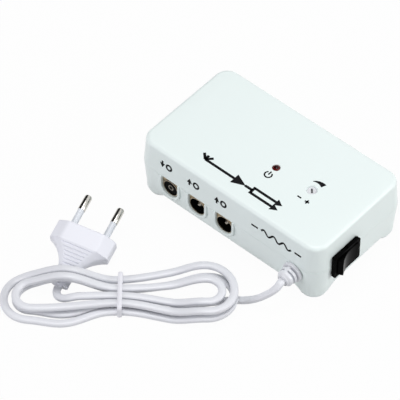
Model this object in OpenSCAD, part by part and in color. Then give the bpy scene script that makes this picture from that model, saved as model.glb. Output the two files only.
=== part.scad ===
// Aerial signal amplifier with one coaxial input and two outputs. A white case in
// two shells holds a circuit board and a small transformer. It has an indicator,
// a slotted gain control, a rocker switch and a flat mains cord tied in a hank.
// Millimetres. +Z is up, the sockets face -Y and the switch faces +X. The origin
// is on the table under the middle of the case.

/* [Case] */

// Length of the case at the parting line
case_l = 118; // [112:1:140]
// Width of the case at the parting line
case_w = 68; // [66:1:84]
// Height of the cover above the parting line
cover_h = 16.7; // [15.5:0.1:24]
// Height of the feet below the tray
foot_h = 4.6; // [3:0.1:7]
// Radius of the upright corners
corner_r = 9; // [8:0.5:11]
// Lean of the cover walls from parting line to top
cover_draft = 1.4; // [0.6:0.1:2]
// Lean of the tray walls from parting line to bottom
tray_draft = 1.3; // [0.6:0.1:2]
// Rounding of the top edge
top_round = 2; // [1:0.25:2.5]
// Wall thickness of both shells
wall = 2.2; // [1.8:0.1:2.6]
// Height of the tongue that centres the cover
tongue_h = 1.2; // [0.8:0.1:1.6]

/* [Board] */

// Gap from the plain end of the case to the board
board_end = 14; // [13:0.5:16]
// Gap from the switch end of the case to the board
board_switch = 24; // [22:0.5:26]
// Gap from the front of the case to the board
board_front_gap = 6; // [5.5:0.1:7]
// Gap from the back of the case to the board
board_back_gap = 30; // [28:0.5:32]
// Thickness of the circuit board
board_t = 1.6; // [1.2:0.1:2]
// Gap between the tray floor and the board
board_gap = 1.3; // [1:0.1:3]
// Diameter of the smoothing capacitor
cap_d = 10; // [8:0.5:10.5]
// Height of the smoothing capacitor
cap_h = 12; // [10:0.5:16]
// Width of the voltage regulator
regulator_w = 10; // [8:0.1:10.5]
// Height of the voltage regulator with its tab
regulator_h = 15; // [12:0.5:16]
// Diameter of the transistors
transistor_d = 4.8; // [4:0.1:5.2]
// Height of the transistors
transistor_h = 5; // [4:0.1:5.5]

/* [Sockets] */

// Distance of the input socket from the plain end of the case
input_inset = 22.1; // [20:0.1:24]
// Distance from one socket to the next
socket_pitch = 17.9; // [16:0.1:19]
// Height of the socket axes above the board
socket_rise = 5.3; // [5.3:0.1:7]
// Coupling diameter of the coaxial sockets
coupling_d = 9.5; // [9:0.1:10]
// Wall of the metal shells
shell_t = 0.3; // [0.2:0.05:0.35]
// Length of the metal shells
shell_l = 12; // [10:0.5:14]
// Setback of the shells behind the case front
shell_back = 0.2; // [0.1:0.1:1.5]
// Diameter of the centre contacts
centre_d = 2.4; // [2:0.1:2.8]
// Width of the openings in the tray
opening_w = 10.6; // [10.5:0.1:12]
// Height of the openings above the socket axes
opening_rise = 6.3; // [5.8:0.1:7.5]
// Width of the raised lip round each opening
lip_w = 1.6; // [0.8:0.1:2]
// How far the lip stands out
lip_out = 0.9; // [0.4:0.1:1.4]

/* [Indicator and gain] */

// Distance of the indicator from the switch end of the case
led_inset = 52.4; // [50:0.1:55]
// Diameter of the indicator lamp
led_d = 3.6; // [3:0.1:5]
// Height of the indicator lamp
led_h = 8.6; // [7:0.1:9]
// Thickness of the lamp's wire legs
led_leg = 0.5; // [0.4:0.05:0.6]
// How far the lamp stands out of the cover
led_out = 0.6; // [0.3:0.1:1.5]
// Distance of the gain control from the switch end of the case
gain_inset = 29.9; // [28.5:0.1:31]
// Diameter of the gain shaft
gain_d = 5; // [4.4:0.1:6]
// How far the gain shaft stays below the top
gain_sink = 0.7; // [0.4:0.1:1.2]
// Width of the dish round the gain shaft
dish_w = 6.8; // [6.4:0.1:9]

/* [Switch] */

// Distance of the switch from the front of the case
switch_inset = 20.6; // [19:0.1:22]
// Length of the switch bezel
bezel_l = 19.4; // [19:0.1:22]
// Width of the switch bezel
bezel_w = 14.5; // [14:0.1:17]
// Thickness of the switch bezel
bezel_t = 2; // [1.6:0.1:2.4]
// Depth of the switch behind the bezel
switch_depth = 12; // [10:0.5:13]
// Swing of the rocker to each side of its middle
rocker_tilt = 9; // [6:0.5:9]

/* [Transformer] */

// Width of the iron core
core_w = 30; // [26:0.5:32]
// Height of the iron core
core_h = 25; // [22:0.5:26]
// Depth of the iron core
core_t = 12; // [10:0.5:13]

/* [Cord] */

// Width of the flat cord
cord_w = 4; // [3.6:0.1:4.6]
// Thickness of the flat cord
cord_t = 2.8; // [2.4:0.1:3]
// Sideways gap between neighbouring strands
strand_gap = 0.6; // [0.5:0.1:0.8]
// Gap between the two layers of the hank
layer_gap = 1.1; // [0.8:0.1:1.3]
// Width of the tie round the hank
tie_w = 2.3; // [1.5:0.1:4]
// Thickness of the tie
tie_t = 0.7; // [0.5:0.1:1]

/* [Plug] */

// Width of the plug body
plug_w = 32; // [30:0.5:36]
// Thickness of the plug body
plug_t = 13; // [12:0.1:13.5]
// Length of the plug body from face to neck
plug_l = 32; // [31:0.5:33]
// Length of the plain front block
block_l = 10.5; // [9:0.5:12]
// Width of the neck
neck_w = 9.2; // [8:0.1:10]
// Thickness of the neck
neck_t = 4.4; // [4:0.1:4.6]
// Number of grip ribs
rib_count = 8; // [6:1:9]
// Distance between the pins
pin_gap = 18; // [17.5:0.1:19]
// Diameter of the pins
pin_d = 4; // [3.8:0.1:4.2]
// Length of the pins
pin_l = 19; // [18:0.5:20]
// Length of the insulating sleeves
sleeve_l = 10; // [9:0.5:11]

/* [Hidden] */

$fn = 48;

// Clearances: fixed fits, running fits and loose moving gaps
fit = 0.05;
run = 0.05;
loose = 0.3;
seat = 0.05;

// Heights, each built on the one below
floor_z = foot_h + wall;
board_low = floor_z + board_gap;
board_top = board_low + board_t;
socket_z = board_top + socket_rise;
part_z = socket_z + opening_rise;
case_h = part_z + cover_h;
roof_z = case_h - wall;

// Plan places
corner_x = case_l / 2 - corner_r;
corner_y = case_w / 2 - corner_r;
board_left = -case_l / 2 + board_end;
board_right = case_l / 2 - board_switch;
board_back = case_w / 2 - board_back_gap;
board_front = -case_w / 2 + board_front_gap;
screw_spots = [[board_left + 3.5, board_back - 4], [board_right - 19, board_back - 4],
    [board_right - 4, board_front + 4]];
trafo_inset = 41;
trafo_back = 16;
boss_spots = [[-case_l / 2 + 8.5, 0], [case_l / 2 - 11, case_w / 2 - trafo_back]];
boss_r = 3.6;
boss_floor = foot_h + 5;
boss_meet = part_z - 0.5;
socket_xs = [for (i = [0 : 2]) -case_l / 2 + input_inset + i * socket_pitch];
relief_inset = 15;
relief_x = case_l / 2 - relief_inset;
relief_drop = 5.7;
relief_z = part_z - relief_drop;
led_x = case_l / 2 - led_inset;
led_y = board_back - 7.5;
gain_x = case_l / 2 - gain_inset;
gain_y = board_back - 7;
slot_turn = -49;

function lean(z) = z > part_z ? cover_draft * (z - part_z) / cover_h
    : tray_draft * (part_z - z) / (part_z - foot_h);

front_y = -case_w / 2 + lean(socket_z);
shell_y = front_y + shell_back;
tongue_t = wall * 0.4;
plate_l = 3;

// First row of parts behind the sockets, and the row along the board's back edge
front_row = shell_y + shell_l + 5;
back_row = board_back - 6;

// Switch
switch_x = case_l / 2 + seat;
switch_y = -case_w / 2 + switch_inset;
switch_z = part_z - 0.8;
pivot_sink = 1.4;
pivot_x = switch_x + bezel_t - pivot_sink;
pivot_r = 1.2;
rocker_r = bezel_l / 2 - 1.95;
rocker_w = bezel_w - 4.1;
body_l = bezel_l - 1.8;
body_w = bezel_w - 1.9;
rocker_out = 3.2;
rocker_in = 2.2;
rocker_dip = 1.3;
dip_r = (pow(rocker_r - 0.6, 2) + pow(rocker_dip, 2)) / (2 * rocker_dip);
term_l = 7;
term_gap = 8;
term_w = 4.8;
term_t = 0.8;

// Transformer
trafo_x = case_l / 2 - trafo_inset;
trafo_y = case_w / 2 - trafo_back;
limb_w = core_w / 3;
yoke = core_w / 6;
window_h = core_h - 2 * yoke;
bobbin_t = 0.9;
coil_y = core_t + 8.4;
coil_x = core_w - 2 * yoke - 2 * loose;

// Strain relief, measured out of the case front
relief_r = 5.6;
relief_neck = 3.8;
relief_hole = relief_neck + 0.1;
relief_y = -case_w / 2 - seat;
relief_len = 8;
relief_rib = 4.8;
relief_core = 3.3;
relief_lip = 1.5;
relief_in = wall + tray_draft + 0.2;
lead_start = [relief_x, relief_y - relief_len - seat, relief_z];

// Plug: where its face stands, where its pins point, and its tilt
plug_at = [lead_start.x - 95.4, lead_start.y - 36.3, 9.1];
plug_turn = 105;
plug_rise = 12;
plug_roll = 3;
plug_dir = [cos(plug_turn) * cos(plug_rise), sin(plug_turn) * cos(plug_rise), sin(plug_rise)];
neck_end = plug_at - plug_dir * plug_l;
taper_end = plug_l - 4;
thick_end = plug_l - 10;
taper_dx = (plug_w - neck_w) / 2;
taper_dy = taper_end - block_l;
taper_r = (taper_dx * taper_dx + taper_dy * taper_dy) / (2 * taper_dx);
rib_d = 0.5;
rib_pitch = (taper_end - block_l - 1) / rib_count;
core_d = pin_d - 1.4;
sleeve_d = pin_d - 0.5;
sleeve_in = 3;
pin_in = 8;

// Hank: its own axes u and v lie on the table, turned by hank_turn about hank_at
hank_at = [lead_start.x - 59.2, lead_start.y - 52.9];
hank_turn = 40.65;
left_c = 43.5;
right_c = 42.9;
left_b = 6.2;
right_b = 8.6;
pitch = cord_w + strand_gap;
layer = cord_t + layer_gap;
waist = pitch * 0.75;
lie_z = cord_t / 2 + seat;
tie_lift = tie_t + loose;
turn_mid = 630;
turn_start = 68;
turn_end = 1185;
neck_hump = 7.6;
lead_hump = cord_t + 0.7;
bulge = 3.6;
fan = 0.3;
hank_steps = 112;

function soft(x) = (1 - cos(180 * min(1, max(0, x)))) / 2;
function hump(x, at, half) = pow(cos(90 * min(1, max(-1, (x - at) / half))), 2);

// Distance of a turn from the innermost one: it grows up to turn_mid and falls again, and the
// upper layer lies half a pitch further in. The strands fan out towards the end loops
function spread(a) = pitch * (1.5 - abs(a - turn_mid) / 360 - 0.5 * soft((a - turn_mid - 30) / 60));
function fanned(u) = 1 + fan * soft(abs(u) / (u > 0 ? right_c : left_c));

// Share of the upper layer
function climb(a) = soft((a - turn_mid + 30) / 60);

// Half width of the innermost run at u
function run_v(u) = waist + ((u > 0 ? right_b : left_b) - waist)
    * soft(abs(u) / (u > 0 ? right_c : left_c));

// Height at a place on the table, for the share k of the upper layer
function rest_z(u, v, k) = lie_z + layer * k + tie_lift * hump(u, 0, 26)
    + neck_hump * hump(u, -26, 25) * soft((v + 4) / 10) + lead_hump * soft((u - 24) / 18);
function strand(u, v, k) = [u, v - (v < 0 ? bulge * hump(u, -26, 20) * (1 - k) : 0), rest_z(u, v, k)];

// One turn: right end, front run, left end, back run, by angle
function wind(a) = let (f = a % 360, o = spread(a), k = climb(a))
    f < 45 || f >= 315 ? let (e = 2 * (f < 45 ? f : f - 360), r = right_b + o * (1 + fan))
        strand(right_c + r * cos(e), -r * sin(e), k)
    : f < 135 ? let (u = right_c - (f - 45) / 90 * (left_c + right_c))
        strand(u, -run_v(u) - o * fanned(u), k)
    : f < 225 ? let (e = 2 * (f - 180), r = left_b + o * (1 + fan))
        strand(-left_c - r * cos(e), r * sin(e), k)
    : let (u = (f - 225) / 90 * (left_c + right_c) - left_c)
        strand(u, run_v(u) + o * fanned(u), k);

function on_table(q) = [hank_at.x + q.x * cos(hank_turn) - q.y * sin(hank_turn),
    hank_at.y + q.x * sin(hank_turn) + q.y * cos(hank_turn), q.z];
function unit(d) = d / norm(d);

hank_in = unit(on_table(wind(turn_start + 1)) - on_table(wind(turn_start)));
hank_out = unit(on_table(wind(turn_end)) - on_table(wind(turn_end - 1)));
hank_first = on_table(wind(turn_start)) - hank_in * cord_w;
hank_last = on_table(wind(turn_end)) + hank_out * cord_w;
hank_path = concat([hank_first],
    [for (i = [0 : hank_steps]) on_table(wind(turn_start + (turn_end - turn_start) * i / hank_steps))],
    [hank_last]);

// Lead from the strain relief down to the table and under the hank's right end: steps
// in x and y from its start, and the share of the way from the table up to the socket
lead_steps = [[0, 0, 1], [0, -1.3, 1], [0.1, -2.6, 0.98], [0.1, -3.9, 0.92], [-0.6, -5.5, 0.83],
    [-2, -6.9, 0.69], [-3.8, -8.2, 0.54], [-6, -9.5, 0.37], [-8.4, -10.7, 0.22], [-10.8, -11.9, 0.11],
    [-13.4, -13.5, 0.04], [-16.4, -15.5, 0.01]];
lead_path = concat(
    [for (q = lead_steps) [lead_start.x + q.x, lead_start.y + q.y, lie_z + (relief_z - lie_z) * q.z]],
    [for (q = [[51, 0], [45, -0.8], [39, -1.8], [33, -2.6]]) on_table([q.x, q.y, lie_z])],
    [hank_first - hank_in * 2, hank_first]);

// Tail from the hank's inner end round to the plug's neck: it sinks along an arc of radius
// tail_r that ends in the neck's direction
tail_r = 6.4;
tail_in = neck_end - plug_dir * 1.2;
tail_c = tail_in + [tail_r * sin(plug_turn), -tail_r * cos(plug_turn), 0];
tail_arc = [for (i = [0 : 8]) let (t = i / 8, e = (hank_turn + 270) * (1 - t) + (plug_turn + 90) * t)
    [tail_c.x + tail_r * cos(e), tail_c.y + tail_r * sin(e),
        tail_in.z + (hank_last.z - 0.7 - tail_in.z) * (1 - sin(90 * min(1, 1.12 * t)))]];
tail_path = concat([hank_last, hank_last + hank_out * 1.5], tail_arc, [neck_end]);

// Mains leads inside: cord to switch, switch to coil, cord to coil
wire_r = 0.8;
wire_y = relief_y + relief_in + relief_lip;
blade_x = switch_x - switch_depth - term_l;
coil_front = trafo_y - coil_y / 2;
wires = [
    [[relief_x + 1.2, wire_y + seat, relief_z], [relief_x + 1.2, wire_y + 3, relief_z],
        [relief_x - 2, wire_y + 5.4, relief_z + 2], [blade_x - 1.7, wire_y + 8.4, switch_z - 0.9],
        [blade_x - 3.2, switch_y - 4.6, switch_z], [blade_x - 1.6, switch_y - 4, switch_z],
        [blade_x, switch_y - 4, switch_z]],
    [[blade_x, switch_y + 4, switch_z], [blade_x - 1.8, switch_y + 4, switch_z],
        [blade_x - 3.4, switch_y + 6.9, switch_z + 0.9], [gain_x + 6.9, gain_y + 3, switch_z + 1.3],
        [gain_x + 1.9, gain_y + 7.6, switch_z + 1.2], [trafo_x + 7, coil_front - 2.6, switch_z + 1],
        [trafo_x + 5, coil_front - 1.6, switch_z + 0.9], [trafo_x + 5, coil_front, switch_z + 0.9]],
    [[relief_x - 1.2, wire_y + seat, relief_z], [relief_x - 1.2, wire_y + 3, relief_z],
        [relief_x - 3.4, wire_y + 8.9, relief_z - 2], [blade_x - 1.9, switch_y + 3.4, relief_z - 2.2],
        [gain_x + 8.4, gain_y + 4.5, relief_z - 1], [gain_x + 4.4, gain_y + 8.6, relief_z],
        [trafo_x + 6, coil_front - 2.2, relief_z + 1.1], [trafo_x + 2, coil_front - 1.8, relief_z + 1.2],
        [trafo_x + 2, coil_front, relief_z + 1.2]]];

// Rounded block with leaning walls: each level is a height and an inset
module stack(levels) {
    hull()
        for (l = levels, sx = [-1, 1], sy = [-1, 1])
            translate([sx * corner_x, sy * corner_y, l[0]])
                cylinder(r = corner_r - l[1], h = 0.01, $fn = 40);
}

// Rounded block with upright walls, inset from the case outline
module prism(low, high, inset) {
    translate([0, 0, low]) linear_extrude(height = high - low)
        rounded(case_l - 2 * inset, case_w - 2 * inset, corner_r - inset);
}

// Rounded rectangle about the origin
module rounded(l, w, r) {
    square([l - 2 * r, w], center = true);
    square([l, w - 2 * r], center = true);
    for (sx = [-1, 1], sy = [-1, 1])
        translate([sx * (l / 2 - r), sy * (w / 2 - r)]) circle(r = r);
}

// Drawn in x and z, then pushed along +Y from y = a to y = b
module along_y(a, b) {
    translate([0, b, 0]) rotate([90, 0, 0]) linear_extrude(height = b - a) children();
}

// A round bar along +Y
module bar_y(r, a, b) {
    along_y(a, b) circle(r = r);
}

// Opening with a round foot and straight sides up to the parting line
module u_shape(r, top) {
    circle(r = r);
    translate([-r, 0]) square([2 * r, top]);
}

// Turned piece about +Y from a polygon of radius and distance
module turned_y(points) {
    rotate([-90, 0, 0]) rotate_extrude() polygon(points);
}

module at_socket(i) {
    translate([socket_xs[i], 0, socket_z]) children();
}

module at_plug() {
    translate(plug_at) rotate([0, 0, plug_turn - 90]) rotate([plug_rise, 0, 0])
        rotate([0, plug_roll, 0]) children();
}

// Section of a flat cord, n points on a full-bellied oval
function oval(w, t, n, first) = [for (i = [0 : n - 1]) let (a = first + i * 360 / n)
    [w / 2 * sign(cos(a)) * pow(abs(cos(a)), 0.7), t / 2 * sign(sin(a)) * pow(abs(sin(a)), 0.7)]];
function heading(p, i) = unit(p[min(i + 1, len(p) - 1)] - p[max(i - 1, 0)]);

// Tube through the points of a path, its section kept level
module tube(path, section) {
    n = len(path);
    m = len(section);
    points = [for (i = [0 : n - 1]) let (t = heading(path, i), s = unit([-t.y, t.x, 0]), up = cross(t, s))
        for (q = section) path[i] + s * q.x + up * q.y];
    faces = concat(
        [for (j = [1 : m - 2]) [0, j, j + 1]],
        [for (j = [1 : m - 2]) [(n - 1) * m, (n - 1) * m + j + 1, (n - 1) * m + j]],
        [for (i = [0 : n - 2], j = [0 : m - 1]) let (a = i * m, b = a + m, k = (j + 1) % m)
            each [[a + j, b + j, b + k], [a + j, b + k, a + k]]]);
    polyhedron(points, faces);
}

module switch_cut() {
    translate([case_l / 2 - 5, switch_y, switch_z])
        cube([20, body_l + 2 * loose, body_w + 2 * loose], center = true);
}

module lower_case() {
    color("whitesmoke") difference() {
        union() {
            difference() {
                union() {
                    stack([[foot_h, lean(foot_h)], [part_z - 0.01, 0]]);
                    prism(part_z - 1, part_z + tongue_h, wall - tongue_t);
                    for (i = [0 : 2]) at_socket(i)
                        along_y(front_y - lip_out, front_y + wall)
                            u_shape(opening_w / 2 + lip_w, opening_rise);
                }
                stack([[floor_z, wall + lean(foot_h)], [part_z, wall]]);
                prism(part_z - 0.5, part_z + 3, wall);
            }
            foot_r = corner_r - lean(foot_h);
            for (sx = [-1, 1], sy = [-1, 1]) translate([sx * corner_x, sy * corner_y, 0])
                rotate_extrude() polygon([[0, 0], [foot_r - 1.8, 0], [foot_r - 0.8, 0.5],
                    [foot_r - 0.3, 1.6], [foot_r, foot_h + 0.5], [0, foot_h + 0.5]]);
            for (b = boss_spots) translate([b.x, b.y, foot_h]) cylinder(r = boss_r, h = boss_meet - foot_h);
            for (s = screw_spots) translate([s.x, s.y, foot_h + 0.5])
                cylinder(r = 2.6, h = board_low - foot_h - 0.5);
        }
        for (i = [0 : 2]) at_socket(i)
            along_y(-case_w / 2 - 5, front_y + wall + 3)
                u_shape(opening_w / 2, opening_rise + tongue_h + 1);
        translate([relief_x, 0, relief_z])
            along_y(-case_w / 2 - 5, front_y + wall + 3) u_shape(relief_hole, relief_drop + tongue_h + 1);
        switch_cut();
        for (b = boss_spots) translate([b.x, b.y, 0]) {
            translate([0, 0, foot_h - 1]) cylinder(r = 3.1, h = boss_floor - foot_h + 1);
            cylinder(r = 1.5 + 2 * fit, h = part_z);
        }
        for (s = screw_spots) translate([s.x, s.y, floor_z - 0.6]) cylinder(r = 1 + fit, h = 6);
    }
}

module upper_cover() {
    round_top = [for (a = [0 : 22.5 : 90]) [case_h - top_round + top_round * sin(a) - 0.01,
        lean(case_h - top_round + top_round * sin(a)) + top_round * (1 - cos(a))]];
    color("white") difference() {
        union() {
            difference() {
                stack(concat([[part_z + 0.01, 0]], round_top));
                stack([[part_z - 1, wall], [roof_z - 1, wall + lean(roof_z - 1)],
                    [roof_z - 0.3, wall + lean(roof_z) + 0.4], [roof_z, wall + lean(roof_z) + 1.2]]);
                prism(part_z - 1, part_z + tongue_h + 0.2, wall - tongue_t - 0.15);
            }
            for (b = boss_spots) translate([b.x, b.y, boss_meet + 0.05])
                cylinder(r = boss_r, h = roof_z - boss_meet + 0.5);
        }
        switch_cut();
        for (b = boss_spots) translate([b.x, b.y, boss_meet - 1]) cylinder(r = 1.5 + fit, h = 11);
        translate([led_x, led_y, roof_z - 3]) cylinder(r = led_d / 2 + 0.15, h = 10);
        translate([gain_x, gain_y, 0]) {
            translate([0, 0, roof_z - 3]) cylinder(r = gain_d / 2 + loose, h = 10);
            translate([0, 0, case_h - 1.1])
                cylinder(r1 = gain_d / 2 + loose, r2 = dish_w / 2, h = 1.2);
        }
    }
}

module case_screws() {
    color("silver") for (b = boss_spots) translate([b.x, b.y, boss_floor]) difference() {
        union() {
            translate([0, 0, -2]) cylinder(r = 2.8, h = 2);
            cylinder(r = 1.5, h = boss_meet - boss_floor + 8);
        }
        for (a = [0, 90]) rotate([0, 0, a]) translate([-1.6, -0.35, -2.1]) cube([3.2, 0.7, 1.1]);
    }
}

module circuit_board() {
    color("seagreen") difference() {
        translate([board_left, board_front, board_low])
            cube([board_right - board_left, board_back - board_front, board_t]);
        for (s = screw_spots) translate([s.x, s.y, board_low - 1]) cylinder(r = 1 + 2 * fit, h = 5);
    }
}

module board_screws() {
    color("silver") for (s = screw_spots) translate([s.x, s.y, board_top]) difference() {
        union() {
            cylinder(r = 2.1, h = 1.4);
            translate([0, 0, floor_z - board_top + 0.2]) cylinder(r = 1, h = board_top - floor_z);
        }
        translate([-2.5, -0.3, 0.8]) cube([5, 0.6, 1]);
    }
}

// Metal shell with a saddle that stands on the board
module shell(r_out, r_in) {
    half = 3.2;
    top = sqrt(pow((r_out + r_in) / 2, 2) - half * half);
    difference() {
        union() {
            bar_y(r_out, shell_y, shell_y + shell_l);
            translate([-half, board_front + 0.6, -socket_rise])
                cube([2 * half, shell_y + shell_l - board_front - 1.2, socket_rise - top]);
        }
        bar_y(r_in, shell_y - 1, shell_y + shell_l + 1);
    }
}

// Centre contact's lead, bent down to the board behind the shell
module contact_leg() {
    bar_y(0.6, shell_y + shell_l - 0.5, shell_y + shell_l + 1.8);
    translate([0, shell_y + shell_l + 1.2, -socket_rise]) cylinder(r = 0.6, h = socket_rise);
}

module input_shell() {
    color("tan") at_socket(0) shell(coupling_d / 2, coupling_d / 2 - shell_t);
}

module input_insulator() {
    color("dimgray") at_socket(0) difference() {
        bar_y(coupling_d / 2 - shell_t - fit, shell_y + 0.5, shell_y + shell_l);
        bar_y(centre_d / 2 + 0.35 + fit, shell_y, shell_y + shell_l + 1);
    }
}

module input_contact() {
    color("silver") at_socket(0) {
        difference() {
            bar_y(centre_d / 2 + 0.35, shell_y + 0.3, shell_y + shell_l);
            bar_y(centre_d / 2, shell_y, shell_y + shell_l - 2);
        }
        contact_leg();
    }
}

module output_shell(i) {
    color("tan") at_socket(i) shell(coupling_d / 2 + fit + shell_t, coupling_d / 2 + fit);
}

module output_insulator(i) {
    color("dimgray") at_socket(i) difference() {
        bar_y(coupling_d / 2, shell_y + shell_l - plate_l, shell_y + shell_l);
        bar_y(centre_d / 2 - 0.2 + fit, shell_y, shell_y + shell_l + 1);
    }
}

module output_pin(i) {
    color("silver") at_socket(i) {
        shoulder = shell_y + shell_l - plate_l - seat;
        turned_y([[0, shell_y + 1], [centre_d / 4, shell_y + 1.1], [centre_d / 2, shell_y + 1.8],
            [centre_d / 2, shoulder], [centre_d / 2 - 0.2, shoulder],
            [centre_d / 2 - 0.2, shell_y + shell_l], [0, shell_y + shell_l]]);
        contact_leg();
    }
}

module output_1_shell() { output_shell(1); }
module output_1_insulator() { output_insulator(1); }
module output_1_pin() { output_pin(1); }
module output_2_shell() { output_shell(2); }
module output_2_insulator() { output_insulator(2); }
module output_2_pin() { output_pin(2); }

module at_trafo() {
    translate([trafo_x, trafo_y, floor_z]) children();
}

module transformer_core() {
    color("slategray") at_trafo() along_y(-core_t / 2, core_t / 2) difference() {
        translate([-core_w / 2, 0]) square([core_w, core_h]);
        for (sx = [-1, 1]) translate([sx * (limb_w + yoke) / 2 - yoke / 2, yoke]) square([yoke, window_h]);
    }
}

module transformer_bobbin() {
    color("ivory") at_trafo() translate([0, 0, yoke + fit]) difference() {
        union() {
            for (z = [0, window_h - 2 * fit - 1]) translate([-coil_x / 2, -coil_y / 2, z])
                cube([coil_x, coil_y, 1]);
            translate([-limb_w / 2 - bobbin_t, -core_t / 2 - bobbin_t, 0])
                cube([limb_w + 2 * bobbin_t, core_t + 2 * bobbin_t, window_h - 2 * fit]);
        }
        translate([-limb_w / 2 - fit, -core_t / 2 - fit, -1])
            cube([limb_w + 2 * fit, core_t + 2 * fit, core_h]);
    }
}

module transformer_windings() {
    low = yoke + fit + 1;
    color("goldenrod") at_trafo() translate([0, 0, low]) linear_extrude(height = window_h - 2 * fit - 2)
        difference() {
            rounded(coil_x - 0.4, coil_y, 2);
            square([limb_w + 2 * bobbin_t, core_t + 2 * bobbin_t], center = true);
        }
}

module smoothing_capacitor() {
    r = cap_d / 2;
    color("midnightblue") translate([board_left + cap_d + 1, back_row, board_top]) rotate_extrude()
        polygon([[0, 0], [r - 0.4, 0], [r, 0.5], [r, 1.6], [r - 0.4, 2], [r - 0.4, 2.5], [r, 2.9],
            [r, cap_h - 0.4], [r - 0.4, cap_h], [0, cap_h]]);
}

module rectifier_diodes() {
    color("black") for (i = [0 : 3])
        translate([socket_xs[1] + 9.4 + 3 * i, board_back - 6.5, board_top + 1.3])
            rotate([-90, 0, 0]) cylinder(r = 1.3, h = 5);
}

module rf_transistors() {
    r = transistor_d / 2;
    color("black") for (x = [socket_xs[1] - socket_pitch / 2, socket_xs[1] + socket_pitch / 2])
        translate([x, front_row, board_top]) linear_extrude(height = transistor_h) intersection() {
            circle(r = r);
            translate([-2 * r, -0.6 * r]) square([4 * r, 2 * r]);
        }
}

module splitter_core() {
    color("darkslategray") translate([socket_xs[1] + 0.6, back_row, board_top]) difference() {
        cylinder(r = 4, h = 4.5);
        translate([0, 0, -1]) cylinder(r = 2, h = 7);
    }
}

module voltage_regulator() {
    w = regulator_w;
    color("black") translate([led_x + 6.4, front_row, board_top]) {
        translate([-w / 2, -0.22 * w, 0]) cube([w, 0.44 * w, 0.6 * regulator_h]);
        translate([-w / 2, 0.08 * w, 0.6 * regulator_h]) cube([w, 0.14 * w, 0.4 * regulator_h]);
    }
}

module at_led() {
    translate([led_x, led_y, case_h + led_out - led_h]) children();
}

module power_led() {
    r = led_d / 2;
    color("firebrick") at_led() {
        cylinder(r = r + 0.4, h = 1);
        rotate_extrude() intersection() {
            union() {
                square([r, led_h - r]);
                translate([0, led_h - r]) circle(r = r);
            }
            square([r, 2 * led_h]);
        }
    }
}

module led_legs() {
    color("silver") for (sx = [-1, 1])
        translate([led_x + sx * 1.27 - led_leg / 2, led_y - led_leg / 2, board_top])
            cube([led_leg, led_leg, case_h + led_out - led_h - board_top]);
}

module at_gain() {
    translate([gain_x, gain_y, board_top]) children();
}

module gain_body() {
    color("royalblue") at_gain() difference() {
        translate([-5, -5, 0]) cube([10, 10, 6]);
        translate([0, 0, 1]) cylinder(r = 2 + run, h = 6);
    }
}

module gain_shaft() {
    top = case_h - gain_sink - board_top;
    color("snow") at_gain() difference() {
        union() {
            translate([0, 0, 1 + loose]) cylinder(r = 2, h = 6);
            translate([0, 0, 6 + loose]) cylinder(r = gain_d / 2, h = top - 6 - loose);
        }
        rotate([0, 0, slot_turn]) translate([-0.3 * gain_d, -0.5, top - 1.3]) cube([0.6 * gain_d, 1, 2]);
    }
}

module at_switch() {
    translate([switch_x, switch_y, switch_z]) children();
}

module switch_housing() {
    well = 2 * (rocker_r + loose);
    well_w = rocker_w + 2 * loose;
    deep = pivot_sink + rocker_in + rocker_r * sin(rocker_tilt) + 0.4;
    color("dimgray") at_switch() difference() {
        union() {
            rotate([90, 0, 90]) linear_extrude(height = bezel_t) rounded(bezel_l, bezel_w, 1.2);
            translate([-switch_depth, -body_l / 2, -body_w / 2]) cube([switch_depth + 0.1, body_l, body_w]);
        }
        translate([bezel_t - deep, -well / 2, -well_w / 2]) cube([deep + 1, well, well_w]);
        translate([bezel_t - pivot_sink, 0, -body_w / 2 - 1]) cylinder(r = pivot_r + run, h = body_w + 2);
    }
}

module switch_rocker() {
    color("black") translate([pivot_x, switch_y, switch_z]) rotate([0, 0, rocker_tilt]) {
        translate([0, 0, -rocker_w / 2]) linear_extrude(height = rocker_w) difference() {
            intersection() {
                circle(r = rocker_r);
                translate([-rocker_in, -rocker_r]) square([rocker_in + rocker_out, 2 * rocker_r]);
            }
            translate([rocker_out - rocker_dip + dip_r, 0]) circle(r = dip_r);
        }
        translate([0, 0, -body_w / 2 + 0.1]) cylinder(r = pivot_r, h = body_w - 0.2);
    }
}

module switch_terminals() {
    color("gold") at_switch() for (sy = [-1, 1])
        translate([-switch_depth - term_l, sy * term_gap / 2 - term_t / 2, -term_w / 2])
            cube([term_l, term_t, term_w]);
}

module mains_wires() {
    color("sienna") for (w = wires) tube(w, oval(2 * wire_r, 2 * wire_r, 6, 0));
}

// Ribbed collar, and a key behind its flange that fills the slot in the tray
module strain_relief() {
    color("white") translate([relief_x, 0, relief_z]) {
        translate([0, relief_y, 0]) rotate([180, 0, 0]) turned_y([
            [0, -relief_in - relief_lip], [relief_r, -relief_in - relief_lip], [relief_r, -relief_in],
            [relief_neck, -relief_in], [relief_neck, 0], [relief_r, 0], [relief_r, relief_len * 0.13],
            [relief_r - 0.7, relief_len * 0.22], [relief_core, relief_len * 0.22],
            [relief_core, relief_len * 0.34], [relief_rib, relief_len * 0.34],
            [relief_rib - 0.1, relief_len * 0.52], [relief_core, relief_len * 0.52],
            [relief_core, relief_len * 0.63], [relief_rib - 0.3, relief_len * 0.63],
            [relief_rib - 0.4, relief_len * 0.8], [relief_core + 0.4, relief_len - 0.6],
            [relief_core - 0.2, relief_len], [0, relief_len]]);
        along_y(relief_y, relief_y + relief_in) translate([-relief_neck, 0])
            square([2 * relief_neck, relief_drop - seat]);
    }
}

module cord_lead() {
    color("ghostwhite") tube(lead_path, oval(cord_w, cord_t, 8, 22.5));
}

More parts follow.
